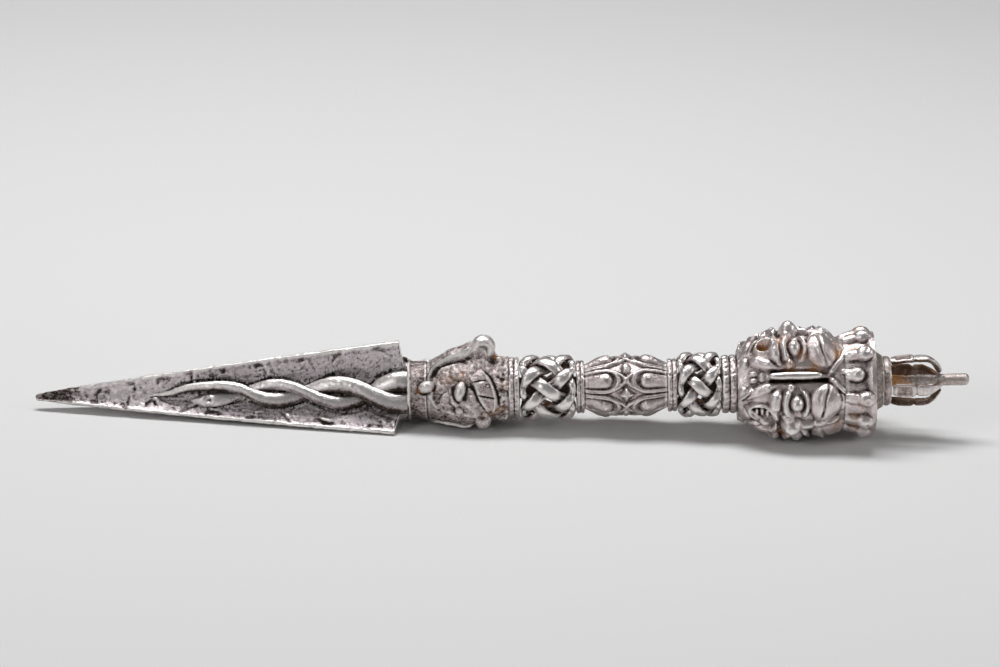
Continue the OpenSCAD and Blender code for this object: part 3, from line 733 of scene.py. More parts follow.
def blade_grid():
    """Each ring of the blade: three faces, and between two faces a short flat across the edge. Also how
    far the relief is raised at each point."""
    cuts = [top_cut, low_cut, low_cut]
    faces = [face_points(cuts[k], cuts[(k + 1) % 3], k) for k in range(3)]
    parts = [in_channel(k, blade_u, faces[k][0], faces[k][1]) for k in range(3)]
    ring = []
    for k in range(3):
        here, after = parts[k], parts[(k + 1) % 3]
        ring.append(here)
        edge = toward(np.array(THIRD * (k + 1)))
        for s in (0.12, 0.4, 0.6, 0.88):
            bulge = 0.12 * growth(blade_u)[:, None] * 4 * s * (1 - s)
            ring.append((here[:, -1] * (1 - s) + after[:, 0] * s + bulge * edge)[:, None])
    edges = np.full((len(blade_u), 4), 0.2)
    raised = np.concatenate([part for face in faces for part in (face[2], edges)], 1)
    return np.concatenate(ring, 1), raised


grid, raised = blade_grid()
worn = 3.1 * np.clip(raised, -0.12, 0.36) + 0.2
worn = worn + 0.35 * grain(grid, 2.2, 12) + 0.3 * grain(grid, 0.35, 13)
pits = np.minimum(grain(grid, 0.5, 5), 0.15) + 0.6 * grain(grid, 0.27, 6)
grid = raised_by(casting_skin(grid, False, 0.06, 0.5, 3), False, 0.11 * pits)
away = np.abs(blade_u - RUST_U)[:, None]
rusty = ease((RUST_REACH - away + 2.2 * grain(grid, 1.6, 8) + 1.6 * grain(grid, 0.5, 9)) / 1.8)
worn_point = 0.45 * ease((2.2 - blade_u)[:, None] / 1.2)
rusty = np.maximum(rusty * (1.05 + 0.4 * grain(grid, 0.45, 10)), worn_point)
above = (grid[..., 2] - (POINT[2] / MM + blade_u * AXIS[2])[:, None]) / edge_rise(blade_u)[:, None]
rusty = rusty * ease((above + 0.5) / 0.35)
piece("blade_casting", grid, "blade", "blade", False, None, 12, 0.07, worn, rusty * 0.95, rusty * 0.3)

# %% [markdown]
# ## The serpents
#
# A serpent is a flattened bar, so its section is an oval whose width and thickness change along the way.
# The short one starts as a polished bulb at the collar and ends in a pointed head with a round eye; the
# long one runs on into a thin tail.

# %% Bars along the channels
BAR_ROWS, BAR_AROUND = 300, 32


def serpent(k, short):
    """One serpent, as rings of an oval: where it passes under, it is pressed flat on the channel floor."""
    start = SNOUT_U if short else TAIL_U
    u = np.linspace(start, BLADE_L - 0.02, BAR_ROWS)
    over = np.cos(phase(u)) * (-1 if short else 1)
    half_w = serpent_width(u) / 2 - 0.03
    side, thicker = serpent_side(u, short), 1
    if short:
        head = np.clip((u - start) / HEAD_L, 0, 1)
        shape = np.sin(np.pi * (0.02 + head * 0.86) ** 0.8)
        half_w = np.where(u < THIRD_CROSSING, 0.2 + 1.6 * shape, half_w)
        bulb = np.clip((u - BLADE_L + FIRST_CROSSING) / FIRST_CROSSING, 0, 1)
        half_w = half_w * (1 - 0.25 * bell(bulb - 0.05, 0.12))
        thicker = 1 + 0.3 * np.sin(np.pi * bulb) ** 0.7
        side = side - 0.15 * np.sin(np.pi * head)
    else:
        half_w = half_w * np.interp(u, [start, start + 5, 34, 46], [0.2, 0.62, 0.74, 1])
    half_t = SERPENT_T / 2 * (1 - 0.35 * np.maximum(-over, 0) ** 2) * np.clip(half_w / 1.5, 0.25, 1)
    half_t = half_t * thicker
    lift = CHANNEL_R * growth(u) + half_t * 0.45 + (1 + over) / 2 * SERPENT_T * 0.5 * ease((u - start) / 6)
    a = circle(BAR_AROUND)
    x = side[:, None] + half_w[:, None] * np.cos(a)
    grid = in_channel(k, u, x, lift[:, None] + half_t[:, None] * np.sin(a))
    if short:
        d = np.sqrt((u - SNOUT_U - 3.5)[:, None] ** 2 + ((a[None] - np.pi / 2) * half_w[:, None]) ** 2)
        grid = raised_by(grid, False, 0.3 * bell(d - 0.7, 0.26) - 0.35 * bell(d, 0.4))
    return grid


# Painted shade on the serpents' flanks, darker on the lower one as aside turns it, and a painted highlight
# along their tops.
flanks = polish_and_flank_shade(BAR_AROUND, -1.6, 0.6, 0.2, 0.45)
bright_head = np.linspace(0.5, -1.5, BAR_ROWS)[:, None]
for k in range(3):
    for short in (False, True):
        node = ("short" if short else "long") + f"_serpent_{k + 1}"
        worn = np.maximum(flanks, bright_head) if short else flanks
        piece(node + "_bar", serpent(k, short), node, "serpents", False, (0.05, 0.6, 11 + k), 6, 0.2, worn)

# %% [markdown]
# ## Sleeves
#
# The collar, the makara section, the rings, the grip, the head and the crown all slide over one rod. Each
# is a sleeve: a grid of radii over u and turn, with a plain bore. Its first and last rows drop to the bore,
# and the grid closes along its rows too, so that it is one solid.

# %% A sleeve from radii
BORE_R, THIN_BORE_R = 2.05, 0.8


def padded(values):
    """Rows of values, with the first and the last repeated for the bore."""
    return np.concatenate([values[:1], values, values[-1:]])


def sleeve(name, node, slot, u, turn, radii, skin, bore=BORE_R, ends=None, worn=0, amber=0, **look):
    """A piece from radii at each u and turn. Ends is the share of its rows over which wear fades at either
    end, as the corners there lie against its neighbours."""
    shape = (len(u), len(turn))
    radii, worn, amber = (np.broadcast_to(x, shape) for x in (radii, worn, amber))
    hole = np.full((1, shape[1]), bore)
    grid = at(np.concatenate([hole, radii, hole]), turn[None], padded(u)[:, None])
    worn = padded(worn)
    if ends:
        s = np.linspace(0, 1, len(grid))[:, None]
        worn = worn - 1.2 * (1 - ease(np.minimum(s, 1 - s) / ends))
    piece(name, grid, node, slot, skin=skin, worn=worn, amber=padded(amber), **look)


# %% The blade's collar and the pearls
PEARL_U, PEARL_OUT, PEARL_LEAN = 75.65, 5.6, np.radians(-24)
PEARL_L, PEARL_W, PEARL_T = 1.6, 1.25, 1.45
PEARL_TURN, PEARL_R, PEARL_MIDDLE_R = 60.0, 6.0, 6.4


def pearl_shadow(u, turn):
    """A dark moat round each pearl, in millimetres of depth: a bell over the distance from its rim."""
    egg = Relief(u, turn, PEARL_R)
    dv, du = egg.around(egg.mm(PEARL_TURN)) - egg.mm(PEARL_TURN), egg.u - PEARL_U
    along = du * np.cos(PEARL_LEAN) + dv * np.sin(PEARL_LEAN)
    across = dv * np.cos(PEARL_LEAN) - du * np.sin(PEARL_LEAN)
    rim = bell(np.hypot(along / PEARL_L, across / PEARL_W) - 1.1, 0.2)
    return 0.4 * rim * ease((dv + 0.9) / 1.6)


def pearl(k):
    """An egg in the valley between two makaras: rings from pole to pole along its lean."""
    pole, round_it = np.radians(np.linspace(2, 178, 50)), np.radians(turns(48))
    along = -PEARL_L * np.cos(pole)[:, None]
    across = PEARL_W * np.sin(pole)[:, None] * np.cos(round_it)
    out = PEARL_OUT + PEARL_T * np.sin(pole)[:, None] * np.sin(round_it)
    u = PEARL_U + along * np.cos(PEARL_LEAN) - across * np.sin(PEARL_LEAN)
    aside = along * np.sin(PEARL_LEAN) + across * np.cos(PEARL_LEAN)
    return at(out, PEARL_TURN + THIRD * k + np.degrees(aside / PEARL_MIDDLE_R), u)


low, high = span("blade_collar")
u, turn = np.linspace(low, high, 60), turns(360)
flange = 0.3 * bell(u - low - 0.3, 0.26)[:, None]
waist = 0.14 * np.sin(np.pi * (u - low) / (high - low))[:, None]
radii = reach("blade_collar") - 0.55 + flange - waist - pearl_shadow(u, turn)
radii = np.minimum(radii, reach("blade_collar"))
worn, amber = 1.1 * flange / 0.3 - 0.45, amber_spots(u, turn, (74.6, 66, 0.9))
look = {"skin": (0.12, 0.8, 21), "ends": 0.03, "worn": worn, "amber": amber}
sleeve("blade_collar_band", "blade_collar", "makara", u, turn, radii, **look)
for k in range(3):
    piece(f"makara_pearl_{k + 1}", pearl(k), "makara_heads", "makara", False, None, 4, worn=1)

# %% The four beaded rings
# Each ring is two round beads side by side. Small nicks break them, as a cord's twists do.
BEADS, BEAD_ROWS = 2, 15
for node, nicks, seed in (
    ("makara_ring", 30, 23),
    ("grip_lower_ring", 24, 24),
    ("grip_upper_ring", 24, 25),
    ("neck_ring", 22, 26),
):
    low, high = span(node)
    r, half = reach(node), (high - low) / BEADS / 2
    u, turn = np.linspace(low, high, BEAD_ROWS * BEADS + 1), turns(300)
    place = (u - low) / (high - low) * BEADS
    bead = arch(2 * (place % 1) - 1)[:, None]
    twist = np.cos(np.radians(turn[None] * nicks) + place[:, None] * 1.3)
    wear = grain(at(r, turn[None], u[:, None]), 1.1, seed)
    radii = r - 0.06 - 0.7 * half + 0.7 * half * bead * (1 - 0.3 * np.maximum(twist, 0)) + 0.11 * wear
    sleeve(node + "_beads", node, "handle", u, turn, radii, (0.06, 0.5, seed), passes=12)

# %% [markdown]
# ## The sea monsters' heads
#
# Three makaras back on to each other, and the blade comes out of their mouths. Each has a pearl at its lip,
# a long upper lip that climbs into a curled trunk, an almond eye, a banded crest and a rough mane. All of it
# is relief on one barrel, repeated every third of a turn. A second relief, gloss, says where hands have
# polished the lips, the eye and the crest's rims.

# %% The makara barrel
MAKARA_R = 7.0
LIP = [(76.0, 48), (76.1, 40), (76.5, 30), (77.4, 20), (79.0, 15), (80.6, 13), (83.0, 12.5), (84.6, 9)]
JAW = [(76.9, 66), (76.5, 74), (76.6, 84), (77.2, 92)]
CHEEK = [(83.1, 90), (84.0, 98), (85.1, 108)]
EYELID = [(81.1, 57), (80.7, 66), (80.8, 76), (81.4, 85), (82.3, 91)]
CREST_LEFT = [(83.0, 38), (84.2, 52), (84.9, 66), (85.4, 80), (86.1, 92), (87.3, 107)]
CREST_RIGHT = [(86.0, 33), (87.5, 45), (88.3, 58), (89.0, 78), (89.0, 96), (88.2, 112)]


def makara_radii(u, turn):
    """Radii of the makaras' barrel, and its gloss."""
    low, high = span("makara_heads")
    band, gloss = Relief(u, turn, MAKARA_R), Relief(u, turn, MAKARA_R)
    place = (band.u - low) / (high - low)
    degrees = np.degrees(band.v / MAKARA_R)
    off, first = past(degrees, 0, THIRD), (degrees + 60) % 360 < THIRD
    swell = 0.9 * np.sin(np.pi * place) ** 0.8 * (1 - 0.4 * ease(np.abs(off) / 60))
    barrel = 5.25 + 0.45 * ease(place * 3.5) + swell
    rise = np.clip((band.u - low - 0.3) / 8.2, 0, 1) ** 0.8
    snout = np.where(first, 2.9, 1.2) * rise * (1 - ease((band.u - low - 11.0) / 2.2))
    narrow = 0.55 * (1 - ease((np.abs(off) - 5) / 46)) + 0.45 * (1 - ease((np.abs(off) - 7) / 12))
    band.lay(snout * narrow - 0.05, 0.35)
    for side, tall in ((1, 0.75), (-1, 0.15)):
        lip = [(u0, side * t0) for u0, t0 in LIP]
        band.groove(lip, 0.3, -tall, 0.1)
        band.groove([(u0 + 0.65, t0 + side * 6) for u0, t0 in lip[1:-1]], 0.35, 0.4 * tall, 0.2)
        gloss.groove(lip, 0.32, -1.8 * tall, 0.05)
        band.mound(83.6, side * 34, 3.4, 2.4, 0.7, 0.6, blend=0.4)
    skin = at(MAKARA_R, turn[None], u[:, None])
    rough = ease((band.u - low - 0.6) / 1.5)
    band.height += rough * (0.24 * grain(skin, 1.7, 37) + 0.15 * grain(skin, 0.7, 38))
    band.groove(JAW, 0.3, -0.35, 0.2)
    gloss.groove(JAW, 0.25, -0.8, 0.2)
    band.mound(79.2, 82, 0.9, 1.4, 0.3, lean=30)
    band.mound(82.1, 70, 1.15, 2.3, 1.35, power=0.6, lean=12)
    band.groove(EYELID, 0.24, 0.3)
    gloss.groove([(82.1, 62), (82.1, 78)], 0.7, -0.7, 0.1)
    gloss.groove(CHEEK, 0.3, -0.8, 0.1)
    band.mound(83.6, 76, 0.45, 1.6, 0.35, lean=10)
    band.mound(81.9, 106, 0.95, 1.4, 0.9)
    band.ridge(CHEEK, 0.42, 0.75, 0.2)
    middle = [((a + c) / 2, (b + d) / 2) for (a, b), (c, d) in zip(CREST_LEFT, CREST_RIGHT)]
    band.ridge(middle, 1.85, 0.75, 0.1, 0.2, 0.15)
    band.groove(CREST_LEFT, 0.22, 0.28, 0.1)
    gloss.groove(moved(CREST_RIGHT, -0.3), 0.25, -0.9, 0.1)
    gloss.groove(moved(CREST_LEFT, 0.35), 0.3, -0.6, 0.1)
    band.ridge(moved(CREST_RIGHT, -0.25), 0.3, 0.9, 0.1)
    band.groove(moved(CREST_RIGHT, 0.3), 0.22, 0.18, 0.1)
    for bar in ([(84.3, 55), (87.3, 51)], [(85.3, 76), (88.9, 82)]):
        band.groove(bar, 0.17, 0.3, 0.1)
    mane = ease((band.u - 88.8) / 0.8) * ease((91.6 - band.u) / 0.8)
    band.height += mane * (0.3 * grain(skin, 1.3, 35) + 0.2 * grain(skin, 0.6, 36))
    return barrel + band.height - pearl_shadow(u, turn), gloss.height - 0.15


low, high = span("makara_heads")
u, turn = steps((low, 0.13), (high, 1)), turns(420)
radii, gloss = makara_radii(u, turn)
spots = [(76.4, 68, 0.6), (79.8, 48, 1.4), (82.5, 44, 1.2)]
spots += [(89.2, 108, 1.7), (86.2, 114, 1.0), (90.6, 60, 1.0)]
amber = amber_spots(u, turn, *spots) * 0.5
look = {"ends": 0.06, "worn": gloss, "amber": amber, "passes": 20, "scale": 0.13}
sleeve("makara_heads_casting", "makara_heads", "makara", u, turn, radii, (0.05, 0.5, 31), **look)

# %% [markdown]
# ## The trunks
#
# A trunk is a bar that climbs the lip's ridge, then curls once on itself like a fern. It grows thick at the
# curl, and a boss fills the middle, so it is swept along a path in the plane through the axis. The first
# trunk stands clear of the dagger, and the other two are small.


# %% Bars along paths
def swept(path, out, half_w, half_t, around=24, square=1.0):
    """Rings of an oval bar along a path: its width lies across the path and across out."""
    along = np.gradient(path, axis=0)
    along /= np.linalg.norm(along, axis=-1, keepdims=True)
    out = out - np.sum(out * along, -1, keepdims=True) * along
    out /= np.linalg.norm(out, axis=-1, keepdims=True)
    across = np.cross(out, along)
    a = circle(around)[None, :, None]
    c, s = np.sign(np.cos(a)) * np.abs(np.cos(a)) ** square, np.sin(a)
    half_w, half_t = (np.broadcast_to(x, len(path))[:, None, None] for x in (half_w, half_t))
    return path[:, None] + across[:, None] * half_w * c + out[:, None] * half_t * s


def makara_trunk(k):
    """Up the snout, down into the neck, then a spiral that starts at its foot, runs up the far side and
    over the top, and winds in. Its radius shrinks as it turns. Also how worn the bar is along its way."""
    low, high = span(f"makara_trunk_{k + 1}")
    first = k == 0
    top = reach(f"makara_trunk_{k + 1}") - (0 if first else 1.1)
    curl_r, bar_r = (1.45, 1.0) if first else (0.95, 0.7)
    curl_u = high - curl_r - bar_r + (0.9 if first else -0.2)
    curl_out = top - curl_r - bar_r - 0.05
    a = np.radians(np.concatenate([np.linspace(-150, 130, 130), np.linspace(132, 400, 90)]))
    shrink = curl_r * np.concatenate([np.ones(130), np.linspace(1, 0.12, 90)])
    scroll = np.stack([curl_u + shrink * np.cos(a), curl_out + shrink * np.sin(a)], -1)
    foot = scroll[0]
    bend = (low + 3.4, (6.1 + curl_out) / 2)
    climb = curve([(low + 0.2, 5.4), bend, (foot[0] - 1.6, curl_out - 0.1), foot], 20)
    line = np.concatenate([climb[:-1], scroll])
    place = np.linspace(0, 1, len(line))
    size = np.interp(place, [0, 0.08, 0.2, 0.3, 0.7, 0.85, 1], [0.3, 0.5, 0.6, bar_r, bar_r, 0.9, 0.7])
    width = np.interp(place, [0, 0.1, 0.22, 0.34, 0.65, 0.85, 1], [0.4, 1.0, 1.2, 1.5, 1.6, 1.1, 0.85])
    path = at(line[:, 1], THIRD * k, line[:, 0])
    d = np.gradient(line, axis=0)
    radial = toward(np.full(len(line), THIRD * k))
    out = d[:, 0, None] * radial - d[:, 1, None] * AXIS
    worn = np.interp(place, [0, 0.3, 0.42, 1], [-0.8, -0.6, 0.1, 0.1]) - (0 if first else 0.3)
    return swept(path, out, width * (1 if first else 0.75), size, 28), worn[:, None]


for k in range(3):
    node = f"makara_trunk_{k + 1}"
    grid, worn = makara_trunk(k)
    piece(node + "_curl", grid, node, "makara", False, (0.06, 0.7, 41 + k), 10, 0.14, worn)

# %% [markdown]
# ## The open knots
#
# Each knot is two endless straps. A strap goes twice round while it swings from edge to edge three times,
# and it passes over and under in turn. The worn straps have grooves along their length, deeper towards the
# edges of the band.

# %% A woven strap
KNOT_TURN, STRAP_T, STRAP_AROUND = 71.0, 1.25, 28


def knot_strap(node, loop, strap_w):
    """Radius, turn and height are sines of one angle t; weave adds a share of the strap's thickness. The
    strap is broad where it crosses over, and thin where it turns back at the band's edge."""
    low, high = span(node)
    t = circle(420)
    swing = 3 * t
    weave = -np.cos(4 * swing) * np.sin(swing) * (1 + 0.83 * np.cos(swing) ** 2)
    weave = weave * (1.5 - 0.5 * weave**2)
    weave_h = STRAP_T / 2 + 0.06
    radius = reach(node) - 0.02 - STRAP_T / 2 - weave_h - 0.35 * np.cos(swing) ** 2 + weave_h * weave
    half_w = strap_w / 2 * (1 - 0.5 * np.abs(np.cos(swing)) ** 4)
    half_l = (high - low) / 2 - strap_w / 2 * 0.48
    turn = KNOT_TURN + 2 * np.degrees(t) - 60 * loop
    path = at(radius, turn, (low + high) / 2 + half_l * np.cos(swing))
    wrapped = np.concatenate([path[-2:], path, path[:2]])
    out = wrapped - POINT / MM
    out = out - (out @ AXIS)[:, None] * AXIS
    wide = np.concatenate([half_w[-2:], half_w, half_w[:2]])
    ring = swept(wrapped, out, wide, STRAP_T / 2, STRAP_AROUND, 0.95)[2:-2]
    a = circle(STRAP_AROUND)[None]
    under = ease((0.35 - weave) / 0.5)[:, None]
    lines = bell(np.abs(np.cos(a)) - 0.45, 0.14) * (np.sin(a) > 0.2)
    amber = np.maximum(-weave, 0)[:, None] * 0.6 * (np.sin(a) < 0.3)
    return raised_by(ring, True, -0.17 * under * lines), amber


# Painted shade on the straps' flanks and a painted highlight on their tops, with some wear.
flanks = polish_and_flank_shade(STRAP_AROUND, -0.8)
for knot, strap_w in (("lower", 2.45), ("upper", 2.2)):
    for loop in range(2):
        node = f"{knot}_knot_strap_{loop + 1}"
        grid, amber = knot_strap(node, loop, strap_w)
        skin = (0.05, 0.7, 51 + loop)
        piece(node + "_band", grid, node, "handle", True, skin, 5, worn=flanks, amber=amber)

# %% [markdown]
# ## The grip
#
# Six petals come in from each end and meet at the middle. Round each lie two nested outlines. A single
# number says how far out of an outline a point is: it is 0 on the outline and negative inside it, and its
# level lines have round ends. A profile over it then draws the bulb and the ridges.

# %% The grip's petals
GRIP_R, PETAL, PETAL_TURN, STAR_TURN = 5.0, 60, 54, 24


def grip_radii(u, turn):
    low, high = span("grip")
    side_share = np.abs(past(turn[None], PETAL_TURN, PETAL) * np.pi / 180 * GRIP_R)
    from_middle = np.abs(u - (low + high) / 2)[:, None]

    def outline(half_w, end_l, power):
        """Millimetres out of a petal's outline, whose round end is end_l long and starts 4.3 from the
        grip's middle."""
        inward = np.maximum(4.3 - from_middle, 0) / end_l
        return (((side_share / half_w) ** power + inward**power) ** (1 / power) - 1) * half_w

    bulb = outline(1.48, 1.7, 2.2)
    height = 1.3 * arch(1 + bulb / 1.48) * (1 - 0.45 * ease((from_middle - 4.2) / 3.8)) - 0.1 * (bulb > 0)
    height = np.maximum(height, 0.15 + 0.45 * arch(outline(1.9, 2.85, 2.2) / 0.3))
    height = np.maximum(height, 0.1 + 0.42 * arch(outline(2.38, 4.3, 1.4) / 0.24))
    to_seam = np.radians(PETAL) * GRIP_R / 2 - side_share
    height = height - 0.3 * bell(to_seam, 0.14) * ease((from_middle - 1.2) / 1.5)
    height = height - 0.3 * ease(outline(2.36, 4.3, 1.4) / 0.3)
    starry = (turn[None] - PETAL_TURN) % THIRD < PETAL
    between = np.abs(past(turn[None], STAR_TURN, PETAL) * np.pi / 180 * GRIP_R)
    star = from_middle / 2.1 + between / 1.75 + 0.7 * np.sqrt(from_middle * between) / 1.4
    drop = (from_middle / 0.75) ** 2 + (between / 1.35) ** 2
    boss = np.where(starry, 1.5 * np.maximum(1 - star, 0) ** 0.7, 0.65 * np.sqrt(np.maximum(1 - drop, 0)))
    barrel = 3.6 + 1.7 * np.sin(np.pi * (u - low) / (high - low))[:, None] ** 0.75
    return barrel + softened(np.maximum(height, boss - 0.1), 2)


low, high = span("grip")
u, turn = steps((low, 0.11), (high, 1)), turns(480)
look = {"skin": (0.05, 0.55, 61), "ends": 0.03, "passes": 20, "scale": 0.16}
sleeve("grip_casting", "grip", "handle", u, turn, grip_radii(u, turn), **look)

# %% [markdown]
# ## The three faces
#
# The three faces share their profile: a chin at the neck, a snarling mouth, a hooked nose, bulging eyes, a
# third eye and flaming brows below the crown. Turns are measured from the middle of a face. The features
# are laid down in order, the broad ones first, and the loop over sides lays the left and the right ones.

# %% The head's relief
HEAD_TWIST = -3.3
HEAD_R, NOSE_U = 10.0, 142.0


def head_relief(u, turn):
    face = Relief(u, turn - HEAD_TWIST, HEAD_R)
    longer = 1 + 0.07 * (1 - np.cos(np.radians(turn)))
    face.u = NOSE_U + (face.u - NOSE_U) / longer[None]
    for side in face.sides():
        face.mound(139.9, 36, 2.2, 2.0, 0.55, 0.7)
        face.mound(147.0, 28, 8.5, 4.6, 0.5, 0.3, blend=0.4)
        face.mound(151.1, 26, 2.95, 4.2, 1.95, 0.45, lean=-7, blend=0.3)
        crease = [(149.9, 5), (150.2, 14), (150.6, 22), (150.9, 32), (151.7, 44), (152.0, 50)]
        face.groove(moved(crease, 0.2), 0.26, 0.6, 0.2)
        face.groove(moved(crease, -0.3), 0.22, -0.2, 0.2)
        lid = [(146.4, 11), (147.5, 17), (147.9, 27), (147.6, 36), (146.8, 44)]
        face.ridge(lid, 0.5, 1.5, 0.2, blend=0.25)
        bag = [(145.4, 12), (144.2, 18), (143.9, 27), (144.2, 36), (144.9, 45)]
        face.ridge(bag, 0.75, 1.75, 0.2, blend=0.4)
        face.mound(144.9, 46, 0.9, 1.3, 1.5, 0.55, blend=0.3)
        face.mound(145.9, 27, 1.35, 1.6, 2.05, 0.5, blend=0.08)
        face.mound(144.4, 9, 1.25, 1.25, 1.6, 0.55, lean=-25)
        face.groove([(143.3, 4), (143.6, 10), (144.8, 14)], 0.22, 0.45)
        face.ridge([(142.4, 14), (142.1, 24), (142.3, 34), (143.0, 44)], 1.15, 1.7, 0.3, blend=0.4)
        face.mound(144.8, 48, 1.1, 0.9, 0.75, 0.55)
        face.ridge([(142.3, 2), (142.1, 10), (141.4, 20), (141.2, 30)], 0.5, 0.95)
        face.ridge([(137.4, 19), (138.3, 11), (139.8, 5)], 0.45, 0.85)
        face.ridge([(137.4, 29), (138.7, 38), (140.6, 45), (142.9, 50)], 1.15, 1.15)
        face.mound(136.4, 36, 0.9, 1.7, 0.7, 0.6)
        face.mound(138.2, 55, 0.8, 0.75, 0.5)
        face.mound(139.8, 57, 0.6, 0.7, 0.45)
        face.groove([(140.6, 54), (146.4, 53.5), (152.6, 54)], 0.5, 0.6 if side > 0 else 1.3, 0.12)
        face.ridge([(152.3, 58), (153.4, 48), (154.9, 37), (155.6, 22)], 0.62, 0.9, 0.1)
    face.ridge([(138.0, -45), (137.2, -37), (136.1, -28), (135.7, -20)], 0.4, 1.3, 0.2)
    mouth = [(139.6, -4), (138.1, -6), (137.5, -13), (138.3, -21), (140.2, -23), (141.6, -17), (142.4, -9)]
    face.ridge(mouth, 0.42, 1.15, 0.1)
    for u0, t0 in ((138.9, -14), (139.8, -16), (140.7, -15)):
        face.mound(u0, t0, 0.36, 1.1, 0.95)
    face.ridge([(142.6, -6), (142.3, -13), (142.0, -20)], 0.3, 1.2, 0.2)
    face.ring(140.3, 20, 1.6, 0.45, 0.8)
    face.pit(140.3, 20, 1.25, 1.5, 0.25)
    face.mound(140.2, 0, 1.0, 0.9, 0.9)
    face.mound(145.0, 0, 2.0, 1.75, 2.95, 0.6, blend=0.3)
    face.ridge([(145.6, 0), (147.4, 0), (149.2, 0)], 0.85, 1.45, 0.2, blend=0.3)
    face.ridge([(148.4, 0), (150.5, 0), (153.4, 0)], 1.1, 1.3, 0.2, blend=0.4)
    face.mound(151.9, -3, 1.6, 0.5, 1.8, blend=0.05)
    face.mound(137.0, 0, 1.1, 2.2, 0.8, 0.7)
    return face


def crown_boss(form):
    """The plain teardrop between two faces, which lies partly on the head and partly on the crown."""
    middle = 60 + HEAD_TWIST
    form.mound(157.7, middle, 1.6, 1.55, 1.3, 0.5, blend=0.1)
    form.mound(156.7, middle, 1.8, 1.3, 1.2, 0.55, blend=0.3)
    form.mound(155.7, middle, 1.5, 0.85, 0.9, 0.6, blend=0.3)


def head_radii(u, turn):
    """Radii of the head, hollow between the faces, and how worn it is: more on high relief."""
    low, high = span("head")
    place = (u - low) / (high - low)
    marks = [0, 0.1, 0.19, 0.29, 0.45, 0.62, 0.8, 0.9, 1]
    outline = np.interp(place, marks, [0.6, 0.74, 0.85, 0.92, 0.94, 0.94, 0.9, 0.82, 0.79])[:, None]
    fades = (ease(place * 4) * (1 - ease((place - 0.8) / 0.18)))[:, None]
    hollow = fades * (1 - np.cos(np.radians(3 * turn)))[None] / 2
    face = head_relief(u, turn)
    crown_boss(face)
    relief = softened(np.minimum(face.height, 3.1), 1)
    return 10.4 * outline - 1.5 * hollow + relief, 0.5 * ease(relief / 1.6) - 0.35


low, high = span("head")
u, turn = steps((low, 0.13), (high, 1)), turns(540)
radii, worn = head_radii(u, turn)
spots = [(140.1, 17, 1.3), (145.2, 45, 1.1), (149.8, 46, 1.3), (154.0, 25, 1.2), (154.0, 8, 1.1)]
spots += [(147.6, 33, 0.9), (143.9, 12, 1.0)]
look = {"ends": 0.03, "worn": worn, "amber": amber_spots(u, turn, *spots) * 0.8, "passes": 26, "scale": 0.24}
sleeve("head_casting", "head", "head", u, turn, radii, (0.045, 0.8, 71), **look)

# %% Hair rolls between the faces
for k in range(3):
    node = f"hair_roll_{k + 1}"
    low, high = span(node)
    u = np.linspace(low, high, 120)
    along = 2 * (u - low) / (high - low) - 1
    size = 0.72 * np.minimum(1, (1 - np.abs(along) ** 6)) ** 0.5 + 0.02
    turn = 60.0 + HEAD_TWIST + THIRD * k
    path = at(reach(node) - 0.74 - 0.25 * along**2, turn, u)
    grid = swept(path, toward(np.full(len(u), turn)), size, size * 0.98)
    piece(node + "_bar", grid, node, "head", False, (0.05, 0.9, 75 + k), 10, 0.12)

# %% [markdown]
# ## The crown
#
# A band of small skulls closes the head. Each is a neck that swells into a ball with a drilled eye. Every
# fourth place, between two faces, has the plain teardrop instead. A rim joins them at the flat end.

# %% The crown and its cap
CROWN_R = 9.5


def crown_radii(u, turn):
    """Radii of the crown, and how worn it is: more on high relief, and darker towards the flat rim."""
    low, high = span("crown")
    form = Relief(u, turn, CROWN_R)
    base = 8.35 + 0.55 * ease((form.u - low) / (high - low) * 2)
    form.height += 0.65 * ease((form.u - 159.5) / 1.2)
    for t in (3 + HEAD_TWIST, 34 + HEAD_TWIST, 90 + HEAD_TWIST):
        form.mound(157.2, t, 3.0, 1.3, 1.15, 0.5, blend=0.3)
        form.mound(159.4, t, 2.0, 1.6, 1.85, 0.46, blend=0.25)
        form.pit(159.7, t, 0.42, 0.16, 0.05)
    crown_boss(form)
    return base + form.height, 0.7 * ease(form.height / 1.7) - 0.5 - 0.9 * ease((form.u - 160.2) / 0.8)


low, high = span("crown")
u, turn = steps((low, 0.12), (high, 1)), turns(540)
radii, worn = crown_radii(u, turn)
radii = np.minimum(radii, reach("crown") - 0.03)
amber = amber_spots(u, turn, (157.4, 20, 0.9), (158.8, 92, 1.0), (157.2, -4, 0.9)) * 0.6
look = {"bore": THIN_BORE_R, "ends": 0.05, "worn": worn, "amber": amber, "passes": 28, "scale": 0.24}
sleeve("crown_casting", "crown", "head", u, turn, radii, (0.04, 0.6, 81), **look)

low, high = span("crown_cap")
s = np.linspace(0, 1, 60)
radii = (reach("finial_collar") + 0.15 + 1.3 * (1 - s) ** 1.3)[:, None]
look = {"skin": (0.09, 0.7, 83), "bore": THIN_BORE_R, "amber": 0.06, "scale": 0.12}
sleeve("crown_cap_plate", "crown_cap", "head", low + (high - low) * s, turns(300), radii, **look)

# %% [markdown]
# ## The half thunderbolt
#
# Four prongs bow out of a round collar and close again on the spindle's neck. A prong is two narrow leaves
# end to end, flat across and thin, with a nick where they meet. The spindle keeps a golden crust that no
# hand can reach.

# %% The finial
low, high = span("finial_collar")
u = np.linspace(low, high, 40)
radii = (reach("finial_collar") - 0.4 + 0.35 * arch(2 * (u - low) / (high - low) - 1))[:, None]
look = {"skin": (0.05, 0.7, 91), "bore": THIN_BORE_R, "amber": 0.1, "passes": 12}
sleeve("finial_collar_ring", "finial_collar", "finial", u, turns(260), radii, **look)

PRONG_AROUND, PRONG_WAIST = 32, 0.47
BOW_MARKS = [0, 0.06, 0.14, 0.24, 0.36, 0.5, 0.62, 0.74, 0.84, 0.92, 1]
BOW_LEVELS = [0.84, 0.88, 0.94, 0.985, 1, 1, 1, 0.97, 0.8, 0.5, 0.06]


